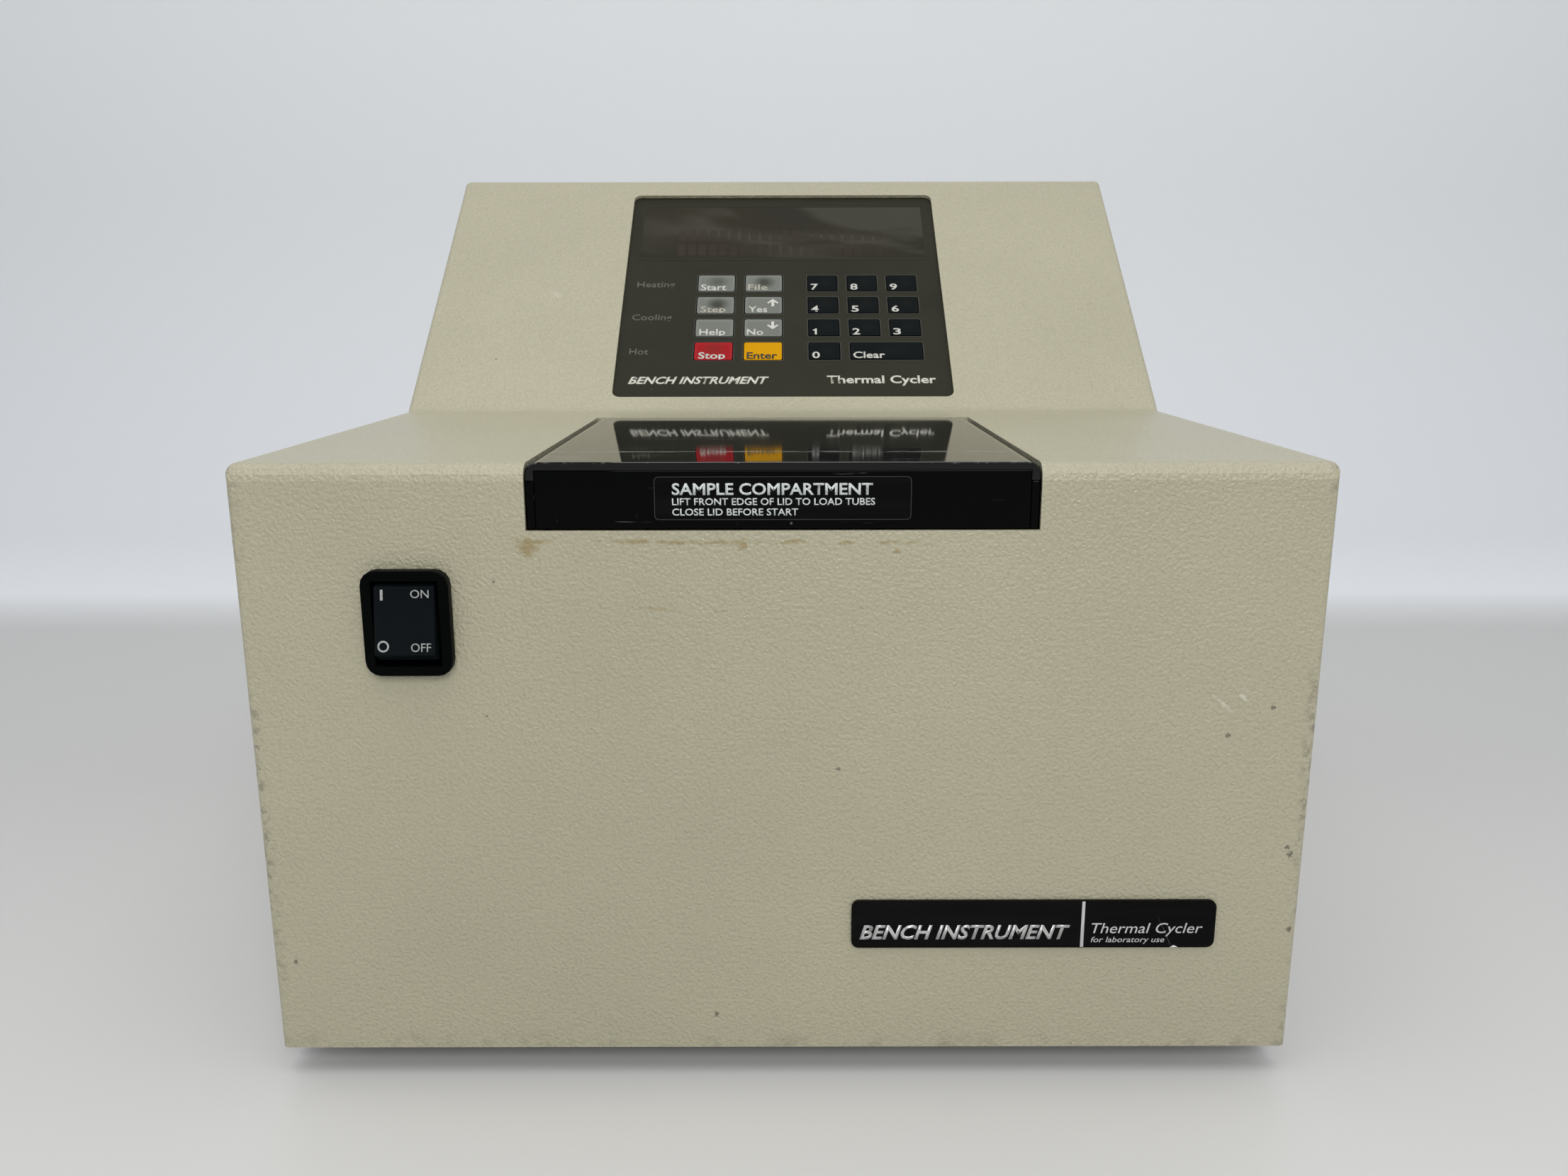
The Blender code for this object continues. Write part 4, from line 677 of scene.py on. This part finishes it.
# --- control panel --------------------------------------------------------------------------------
# key: word, width of the word, left margin, in millimetres
KEY_WORDS = {
    "key_start": ("Start", 12.3, 1.2),
    "key_file": ("File", 9.6, 1.0),
    "key_step": ("Step", 12.1, 1.5),
    "key_yes": ("Yes", 9.1, 1.4),
    "key_help": ("Help", 12.2, 1.6),
    "key_no": ("No", 7.7, 1.0),
    "key_stop": ("Stop", 12.4, 1.8),
    "key_enter": ("Enter", 14.0, 1.3),
    "key_clear": ("Clear", 14.6, 1.0),
}
KEY_CAPITAL = 4.1
KEY_FOOT = 0.7
KEY_MARGIN = 0.15  # letters that hang below their line stop this far inside the key's edge
DIGIT_WIDTH = 3.6
# the figure 1, with the flag that the plain one lacks
DIGIT_ONE = ((1.5, 0.0), (2.4, 0.0), (2.4, 4.1), (1.75, 4.1), (1.5, 3.55), (0.6, 3.2), (0.6, 2.6), (1.5, 2.8))
SLOPE_COS = UP_SLOPE.y


def key_size(node):
    """A key's width and height along the slope."""
    low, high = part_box(node)
    tall = (high.y - low.y - KEY_THICK * abs(INWARD.y)) / SLOPE_COS
    return high.x - low.x, tall


def on_key(node, u, v):
    """A place on a key's face, from its lower left corner."""
    width, tall = key_size(node)
    corner = middle(node) - INWARD * (KEY_THICK / 2 + LIFT) - X_AXIS * width / 2 - UP_SLOPE * tall / 2
    return axes(corner + X_AXIS * u + UP_SLOPE * v, X_AXIS, UP_SLOPE)


def key_legends():
    """The word, figure or arrow on every key."""
    pale = ink("key_ink_pale", OFF_WHITE, 0.4, 0.15)
    worn = ink("key_ink_worn", (0.42, 0.40, 0.33), 0.4, 0.6, 500.0)
    dark = ink("key_ink_dark", (0.012, 0.010, 0.004), 0.4, 0.1)
    inks = {"key_enter": dark, "key_step": worn, "key_file": worn}
    one = outline_mesh("key_1_legend", [[(u * MM, v * MM) for u, v in DIGIT_ONE]])
    add("key_1_legend", one, on_key("key_1", 1.2 * MM, KEY_FOOT * MM), "key_1", pale)
    for node in sorted(name for name in frame["nodes"] if name.startswith("key_") and name != "key_1"):
        word, width, margin = KEY_WORDS.get(node, (node[-1], DIGIT_WIDTH, 1.2))
        place = on_key(node, margin * MM, KEY_FOOT * MM)
        size = (width * MM, KEY_CAPITAL * MM)
        words(
            f"{node}_legend",
            word,
            place,
            size,
            node,
            inks.get(node, pale),
            weight=0.022,
            lowest=(KEY_MARGIN - KEY_FOOT) * MM,
        )
    for node, turn in (("key_yes", 1), ("key_no", -1)):
        half = [(0, 2.75), (2.75, 0.15), (2.05, -0.55), (0.68, 0.62), (0.68, -2.6)]
        outline = half + [(-u, v) for u, v in reversed(half[1:])]
        points = [(u * MM, turn * v * MM) for u, v in outline[:: turn]]
        mesh = outline_mesh(f"{node}_arrow", [points])
        add(f"{node}_arrow", mesh, on_key(node, 13.1 * MM, 7.4 * MM), node, pale)


def panel_borders():
    """The dark printed line round each key, and the one that frames the window."""
    f = Finish("border_ink", (0.020, 0.020, 0.015), 0.45, Specular_IOR_Level=0.3)
    f.colour(f.mix(f.fade(f.noise(300.0, 2.0), 0.3, 0.7), (0.016, 0.016, 0.012), (0.024, 0.024, 0.018)))
    for node in sorted(name for name in frame["nodes"] if name.startswith("key_")):
        width, tall = key_size(node)
        hole = KEY_CLEARANCE + 0.02 * MM
        wide = hole + 0.55 * MM
        outlines = [
            rounded(width + 2 * wide, tall + 2 * wide, 1.4 * MM),
            rounded(width + 2 * hole, tall + 2 * hole, 0.8 * MM),
        ]
        mesh = outline_mesh(f"{node}_border", outlines, LINE_THICK)
        centre = middle(node)
        v = (centre - on_slope(0, 0, 0).translation).dot(UP_SLOPE)
        add(f"{node}_border", mesh, on_slope(centre.x, v), "chassis", f.material)
    low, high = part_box("display_window")
    thick = OVERLAY_THICK * abs(INWARD.y)
    width, tall = high.x - low.x, (high.y - low.y - thick) / SLOPE_COS
    outlines = [
        rounded(width + 2.2 * MM, tall + 2.2 * MM, 1.6 * MM),
        rounded(width - 1.4 * MM, tall - 1.4 * MM, 1.0 * MM),
    ]
    mesh = outline_mesh("window_border", outlines, LINE_THICK)
    v = (middle("display_window") - on_slope(0, 0, 0).translation).dot(UP_SLOPE)
    film = overlay_film("window_border_film")
    add("window_border", mesh, on_slope(0, v), "chassis", film)


def panel_words():
    """The panel's two titles and its three unlit indicator words."""
    title = ink("title_ink", (0.60, 0.59, 0.51), 0.45, 0.12)
    dim = ink("indicator_ink", (0.085, 0.083, 0.066), 0.5, 0.25)
    words(
        "panel_title_left",
        "BENCH INSTRUMENT",
        on_slope(-69.9 * MM, 19.2 * MM),
        (63.6 * MM, 4.3 * MM),
        "chassis",
        title,
        slant=0.32,
        weight=0.03,
    )
    words(
        "panel_title_right",
        "Thermal Cycler",
        on_slope(19.8 * MM, 19.4 * MM),
        (49.3 * MM, 4.7 * MM),
        "chassis",
        title,
        weight=0.026,
    )
    lamps = (("Heating", -70.4, 85.8, 18.4), ("Cooling", -71.2, 62.0, 19.0), ("Hot", -70.8, 38.4, 8.9))
    for word, u, v, width in lamps:
        name = f"indicator_{word.lower()}"
        place, size = on_slope(u * MM, v * MM), (width * MM, 4.0 * MM)
        words(name, word, place, size, "chassis", dim, weight=0.02)


def display_dots():
    """Two rows of twenty unlit characters, each a grid of five by seven dots, seen through the window."""
    columns, rows, dots_across, dots_up = 20, 2, 5, 7
    first_u, last_u, low_v = -52.0 * MM, 51.0 * MM, 110.1 * MM
    pitch, row_pitch = (last_u - first_u) / columns, 11.4 * MM
    cell_w, cell_h = pitch * 0.74, 8.6 * MM
    shape = bmesh.new()
    for row in range(rows):
        for column in range(columns):
            for i in range(dots_across):
                for j in range(dots_up):
                    u = first_u + column * pitch + i * cell_w / dots_across
                    v = low_v + row * row_pitch + j * cell_h / dots_up
                    w, h = cell_w / dots_across * 0.78, cell_h / dots_up * 0.80
                    corners = ((u, v), (u + w, v), (u + w, v + h), (u, v + h))
                    shape.faces.new([shape.verts.new((a, b - OVERLAY_MIDDLE, 0)) for a, b in corners])
    f = Finish("unlit_dots", (0.040, 0.031, 0.024), 0.22, Specular_IOR_Level=0.08)
    cloud = f.fade(f.noise(16.0, 3.0), 0.35, 0.65)
    f.colour(f.mix(cloud, (0.029, 0.026, 0.019), (0.046, 0.034, 0.026)))
    f.rough(f.fade(cloud, 0.0, 1.0, 0.18, 0.28))
    place = on_slope(0, OVERLAY_MIDDLE, LIFT / 2)
    add("display_dots", mesh_from("display_dots", shape), place, "chassis", f.material)


# --- switch, nameplate, lid label -----------------------------------------------------------------
ROCKER_REACH = 9.0 * MM
ROCKER_TILT = -10.0
ROCKER_FACE = (18.2 * MM, 20.4 * MM)


def on_rocker(u, v):
    """The rocker's face, from its lower left corner."""
    turn = Matrix.Rotation(math.radians(ROCKER_TILT), 3, "X")
    out, up = turn @ Vector((0, -1, 0)), turn @ Z_AXIS
    centre = Vector(JOINTS["power_rock"]["pos_m"]) + out * (ROCKER_REACH + LIFT)
    corner = centre - X_AXIS * ROCKER_FACE[0] / 2 - up * ROCKER_FACE[1] / 2
    return axes(corner + X_AXIS * u + up * v, X_AXIS, up)


def switch_marks():
    """ON and OFF on the rocker, rubbed thin."""
    white = ink("switch_ink", (0.36, 0.37, 0.36), 0.5, 0.85, 1500.0)
    body, slot = "power_rocker", "black_plastic"
    bar = outline_mesh("switch_on_bar", [rounded(0.8 * MM, 3.2 * MM, 0.1 * MM)])
    add("switch_on_bar", bar, on_rocker(2.5 * MM, 17.9 * MM), body, white)
    ring = outline_mesh("switch_off_ring", [circle(1.75 * MM), circle(1.2 * MM)])
    add("switch_off_ring", ring, on_rocker(2.8 * MM, 2.5 * MM), body, white)
    words("switch_on_word", "ON", on_rocker(11.1 * MM, 17.0 * MM), (5.5 * MM, 2.4 * MM), body, white)
    words("switch_off_word", "OFF", on_rocker(11.1 * MM, 0.9 * MM), (6.0 * MM, 2.5 * MM), body, white)


def nameplate_print():
    """The plate's words and rule, the chip out of its lower edge and the crack beside it."""
    silver = brushed("plate_silver", (0.62, 0.62, 0.62), 0.34, (20.0, 1.0, 1.0), 0.7)
    low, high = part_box("nameplate")
    left, foot = low.x, low.z - COVER_Z
    proud = FRONT_Y - low.y + LIFT
    tall = high.z - low.z

    def at(u, v):
        return on_front(left + u * MM, foot + v * MM, proud)

    body, slot = "chassis", "label_film"
    words(
        "nameplate_name",
        "BENCH INSTRUMENT",
        at(2.6, 3.2),
        (67.5 * MM, 4.6 * MM),
        body,
        silver,
        slant=0.30,
        weight=0.028,
    )
    rule = outline_mesh("nameplate_rule", [rounded(1.0 * MM, tall - 0.5 * MM, 0.05 * MM)])
    add("nameplate_rule", rule, at(74.1, tall / MM / 2), body, silver)
    rows = (
        ("nameplate_type", "Thermal Cycler", 5.1, 35.6, 3.5),
        ("nameplate_use", "for laboratory use", 1.9, 23.6, 1.9),
    )
    for name, text, v, wide, cap in rows:
        words(name, text, at(77.0, v), (wide * MM, cap * MM), body, silver, slant=0.22)
    chip = [(0, 0), (2.7, 0), (1.9, 0.45), (1.2, 0.75), (0.7, 0.35)]
    mesh = outline_mesh("nameplate_chip", [[(u * MM, v * MM) for u, v in chip]], LINE_THICK)
    add("nameplate_chip", mesh, at(102.4, 0.08), body, ink("bare_plate", (0.72, 0.72, 0.70), 0.35))
    crack = [(0, 0), (0.10, 0), (-2.3, 5.4), (-5.1, 11.0), (-2.4, 5.4)]
    mesh = outline_mesh("nameplate_crack", [[(u * MM, v * MM) for u, v in crack]], 0.02 * MM)
    add("nameplate_crack", mesh, at(102.6, 0.8), body, ink("crack_line", (0.10, 0.10, 0.10), 0.4))


def lid_print():
    """The lid label's three rows of words and its outline."""
    pale = ink("lid_ink", (0.60, 0.64, 0.64), 0.45, 0.45, 700.0)
    line = ink("lid_outline_ink", (0.035, 0.036, 0.036), 0.4)
    low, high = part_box("lid_label")
    left, foot = low.x, low.z - COVER_Z
    proud = FRONT_Y - low.y + LIFT
    width, tall = high.x - low.x, high.z - low.z
    rows = (
        ("SAMPLE COMPARTMENT", 5.3, 7.6, 59.5, 3.3, 0.022),
        ("LIFT FRONT EDGE OF LID TO LOAD TUBES", 5.3, 4.5, 60.2, 2.0, 0.014),
        ("CLOSE LID BEFORE START", 5.3, 1.4, 37.4, 2.0, 0.014),
    )
    for index, (text, u, v, wide, cap, weight) in enumerate(rows):
        place, size = on_front(left + u * MM, foot + v * MM, proud), (wide * MM, cap * MM)
        words(f"lid_words_{index}", text, place, size, "lid", pale, weight=weight)
    rings = [rounded(width, tall, 1.4 * MM, 0.05 * MM), rounded(width, tall, 1.4 * MM, 0.20 * MM)]
    mesh = outline_mesh("lid_label_outline", rings, 0.04 * MM)
    place = on_front(left + width / 2, foot + tall / 2, proud)
    add("lid_label_outline", mesh, place, "lid", line)


# --- screws and rear fittings ---------------------------------------------------------------------
def screw_mesh(name, radius, height):
    """A pan head with a cross recess, standing on its plane."""
    shape = bmesh.new()
    rings, sides = 6, 24
    long, wide = 0.62, 0.16  # of the recess's two slots, as shares of the head's width
    levels = [(radius, 0.0)]
    for step in range(rings):
        angle = step / (rings - 1) * math.pi / 2
        levels.append((radius * (0.55 + 0.45 * math.cos(angle)), height * (0.45 + 0.55 * math.sin(angle))))
    loops = []
    for r, z in levels:
        level = Matrix.Translation((0, 0, z))
        made = bmesh.ops.create_circle(shape, segments=sides, radius=r, matrix=level)
        loops.append(made["verts"])
    for lower, upper in zip(loops, loops[1:]):
        for k in range(sides):
            shape.faces.new((lower[k], lower[(k + 1) % sides], upper[(k + 1) % sides], upper[k]))
    shape.faces.new(list(reversed(loops[0])))
    shape.faces.new(loops[-1])
    head = mesh_from(name + "_head", shape)
    slot_shape = bmesh.new()
    for size in ((long, wide), (wide, long)):
        scale = Matrix.Diagonal((2 * radius * size[0], 2 * radius * size[1], height * 1.2, 1))
        bmesh.ops.create_cube(slot_shape, size=1.0, matrix=Matrix.Translation((0, 0, height)) @ scale)
    cutter_mesh = mesh_from(name + "_cutter", slot_shape)
    holder = bpy.data.objects.new(name + "_holder", head)
    cutter = bpy.data.objects.new(name + "_cutter_holder", cutter_mesh)
    for item in (holder, cutter):
        bpy.context.scene.collection.objects.link(item)
    cut = holder.modifiers.new("recess", "BOOLEAN")
    cut.object = cutter
    cut.use_self = True
    bpy.context.view_layer.update()
    evaluated = holder.evaluated_get(bpy.context.evaluated_depsgraph_get())
    mesh = bpy.data.meshes.new_from_object(evaluated)
    mesh.name = name
    for item in (holder, cutter):
        bpy.data.objects.remove(item)
    mesh.shade_smooth()
    mesh.set_sharp_from_angle(angle=math.radians(35))
    return mesh


def screws(name, mesh, places, body, finish):
    """The same screw at several places, each turned a little differently."""
    for index, place in enumerate(places):
        turned = place @ Matrix.Rotation(random.uniform(0, math.pi), 4, "Z")
        add(f"{name}_{index}", mesh, turned, body, finish)


def rear_details():
    """Screws, posts and words on the rear panel."""
    steel = brushed("screw_steel", (0.50, 0.49, 0.47), 0.30, (2.0, 2.0, 2.0))
    black = ink("rear_ink", (0.02, 0.02, 0.02), 0.5, 0.2)
    panel_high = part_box("rear_panel")[1]
    height = panel_high.z - COVER_Z
    half = panel_high.x - 6 * MM
    big = screw_mesh("panel_screw", 3.2 * MM, 1.9 * MM)
    spots = [(sign * half, level) for sign in (-1, 1) for level in (14 * MM, height / 2, height - 8 * MM)]
    spots += [(sign * 55 * MM, height - 8 * MM) for sign in (-1, 1)]
    screws("rear_screw", big, [on_rear(x, z, 0.0) for x, z in spots], "chassis", steel)
    fan = middle("fan_guard")
    guard_reach = 52.5 * MM
    corners = [(sx * guard_reach, sz * guard_reach) for sx in (-1, 1) for sz in (-1, 1)]
    places = [on_rear(fan.x + across, fan.z - COVER_Z + up, 0.0) for across, up in corners]
    screws("fan_screw", big, places, "chassis", steel)
    small = screw_mesh("fitting_screw", 2.2 * MM, 1.3 * MM)
    inlet, inlet_face = middle("power_inlet"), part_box("power_inlet")[1].y
    places = [axes((inlet.x + s * 20 * MM, inlet_face, inlet.z), -X_AXIS, Z_AXIS) for s in (-1, 1)]
    screws("inlet_screw", small, places, "chassis", steel)
    port = middle("data_port")
    for index, side in enumerate((-1, 1)):
        shape = bmesh.new()
        across, tall = 2.7 * MM, 4.5 * MM
        bmesh.ops.create_cone(shape, cap_ends=True, segments=6, radius1=across, radius2=across, depth=tall)
        mesh = mesh_from(f"port_post_{index}", shape)
        place = on_rear(port.x + side * 23.5 * MM, port.z - COVER_Z, 2.3 * MM)
        add(f"port_post_{index}", mesh, place, "chassis", steel)
    labels = (
        ("rear_word_mains", "MAINS INPUT", inlet.x, inlet.z - COVER_Z + 19 * MM, 30),
        ("rear_word_fuse", "FUSE", middle("fuse_holder").x, inlet.z - COVER_Z + 13 * MM, 12),
        ("rear_word_data", "DATA", port.x, port.z - COVER_Z + 12 * MM, 13),
    )
    for name, text, x, level, width in labels:
        place, size = on_rear(x, level), (width * MM, 3.2 * MM)
        words(name, text, place, size, "chassis", black, weight=0.01, align="CENTER")


def side_screws():
    """A row of screws along each side's lower edge, into the pan's flanges."""
    steel = brushed("side_screw_steel", (0.42, 0.41, 0.39), 0.32, (2.0, 2.0, 2.0))
    mesh = screw_mesh("side_screw", 3.0 * MM, 1.8 * MM)
    for side in (-1, 1):
        places = []
        for reach in (45, 215, 385):
            where = (side * COVER_HIGH.x, FRONT_Y + reach * MM, COVER_Z + 11 * MM)
            places.append(axes(where, (0, side, 0), Z_AXIS))
        name = "side_screw_left" if side < 0 else "side_screw_right"
        screws(name, mesh, places, "chassis", steel)


def compartment_details():
    """What shows when the lid is up: screws in the tray floor beside the block, the block's row letters and column
    numbers, and the leaf's screws.
    """
    steel = brushed("inner_screw_steel", (0.55, 0.55, 0.54), 0.28, (2.0, 2.0, 2.0))
    black = ink("block_ink", (0.03, 0.03, 0.03), 0.5, 0.3)
    tray_low, tray_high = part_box("block_tray")
    block_low, block_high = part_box("sample_block")
    floor, reach = tray_low.z + TRAY_FLOOR, tray_high.x - 10.7 * MM
    small = screw_mesh("tray_screw", 2.4 * MM, 1.4 * MM)
    spots = [(side * reach, y) for side in (-1, 1) for y in (block_low.y + 8 * MM, block_high.y - 8 * MM)]
    places = [axes((x, y, floor), X_AXIS, (0, 1, 0)) for x, y in spots]
    screws("tray_screw", small, places, "chassis", steel)
    centre = (block_low + block_high) / 2
    for row, letter in enumerate("FEDCBA"):
        y = centre.y + (row - 2.5) * WELL_PITCH - 1.0 * MM
        place = axes((block_low.x + 0.9 * MM, y, block_high.z + LIFT), X_AXIS, (0, 1, 0))
        words(f"row_letter_{letter}", letter, place, (1.9 * MM, 2.2 * MM), "chassis", black)
    for column in range(8):
        x = centre.x + (column - 3.5) * WELL_PITCH
        place = axes((x, block_high.y - 3.1 * MM, block_high.z + LIFT), X_AXIS, (0, 1, 0))
        number = str(column + 1)
        size = (1.0 * MM if number == "1" else 1.6 * MM, 2.2 * MM)
        words(f"column_number_{number}", number, place, size, "chassis", black, align="CENTER")
    leaf_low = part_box("hinge_leaf_lid")[0]
    leaf_z = LID_LOW.z - 1.5 * MM
    places = [axes((x * MM, leaf_low.y + 5 * MM, leaf_z), X_AXIS, (0, -1, 0)) for x in (-56, -20, 20, 56)]
    screws("leaf_screw", small, places, "lid", steel)


# --- stage ----------------------------------------------------------------------------------------
def backdrop():
    """A pale bench, then a paler floor that rises in a wide curve into a wall."""
    half, front, wall_y, radius, top = 6.0, -4.0, 1.15, 0.40, 1.9
    profile = [(front, 0.0)]
    for step in range(13):
        angle = step / 12 * math.pi / 2
        profile.append((wall_y - radius + radius * math.sin(angle), radius - radius * math.cos(angle)))
    profile.append((wall_y, top))
    shape = bmesh.new()
    left = [shape.verts.new((-half, y, z)) for y, z in profile]
    right = [shape.verts.new((half, y, z)) for y, z in profile]
    for k in range(len(profile) - 1):
        shape.faces.new((left[k], right[k], right[k + 1], left[k + 1]))
    mesh = bpy.data.meshes.new("backdrop")
    shape.to_mesh(mesh)
    shape.free()
    mesh.shade_smooth()
    f = Finish("backdrop_paint", (0.60, 0.60, 0.61), 0.30)
    y, z = f.xyz()[1:]
    # the bench is painted darker from in front of the machine to under it: painted shade
    bench = f.mix(f.fade(y, -0.30, 0.05), (0.62, 0.617, 0.612), (0.52, 0.517, 0.512))
    # the wall is painted paler towards the top: painted light
    wall = f.mix(f.fade(z, 0.05, 0.60), (0.79, 0.81, 0.84), (0.86, 0.875, 0.89))
    beyond = f.fade(y, 0.36, 0.48)
    f.colour(f.mix(beyond, bench, wall))
    f.rough(f.fade(beyond, 0.0, 1.0, 0.30, 0.8))
    mesh.materials.append(f.material)
    made = bpy.data.objects.new("backdrop", mesh)
    bpy.context.scene.collection.objects.link(made)


def lamp(name, place, target, size, power, colour):
    """One rectangular lamp, aimed at a target."""
    data = bpy.data.lights.new(name, "AREA")
    data.shape = "RECTANGLE"
    data.size, data.size_y = size
    data.energy = power
    data.color = colour
    made = bpy.data.objects.new(name, data)
    bpy.context.scene.collection.objects.link(made)
    made.location = place
    made.rotation_euler = (Vector(target) - Vector(place)).to_track_quat("-Z", "Y").to_euler()


def light():
    """An even room, a lamp overhead and a weaker one in front."""
    world = bpy.data.worlds.new("soft_room")
    bpy.context.scene.world = world
    world.use_nodes = True
    nodes, links = world.node_tree.nodes, world.node_tree.links
    direction = nodes.new("ShaderNodeTexCoord")
    split = nodes.new("ShaderNodeSeparateXYZ")
    links.new(direction.outputs["Generated"], split.inputs[0])
    ahead = nodes.new("ShaderNodeMapRange")
    links.new(split.outputs["Y"], ahead.inputs["Value"])
    for socket, number in zip(("From Min", "From Max", "To Min", "To Max"), (-0.70, 0.25, 0.35, 0.74)):
        ahead.inputs[socket].default_value = number
    links.new(ahead.outputs["Result"], nodes["Background"].inputs["Strength"])
    nodes["Background"].inputs["Color"].default_value = (0.94, 0.97, 1.0, 1.0)
    aim = (0.0, 0.0, 0.15)
    lamp("ceiling_light", (-0.05, -0.55, 1.9), aim, (1.8, 1.3), 14.5, (1.0, 0.985, 0.96))
    lamp("front_fill", (0.2, -1.75, 1.15), aim, (1.0, 0.7), 16.5, (1.0, 0.99, 0.97))
    bpy.context.scene.view_settings.view_transform = "Standard"


def camera():
    """The camera that the render is taken with."""
    data = bpy.data.cameras.new("camera")
    data.sensor_width = 36.0
    data.lens = CAMERA_LENS
    data.clip_start, data.clip_end = 0.01, 20.0
    made = bpy.data.objects.new("camera", data)
    bpy.context.scene.collection.objects.link(made)
    made.location = CAMERA_PLACE
    down = Matrix.Rotation(math.radians(90 - CAMERA_DOWN), 3, "X")
    roll = Matrix.Rotation(math.radians(CAMERA_ROLL), 3, "Z")
    made.rotation_euler = (down @ roll).to_euler()
    bpy.context.scene.camera = made


# --- build ----------------------------------------------------------------------------------------
random.seed(7)
camera()
light()
backdrop()
paint_nodes()
panel_borders()
key_legends()
panel_words()
display_dots()
switch_marks()
nameplate_print()
lid_print()
rear_details()
side_screws()
compartment_details()
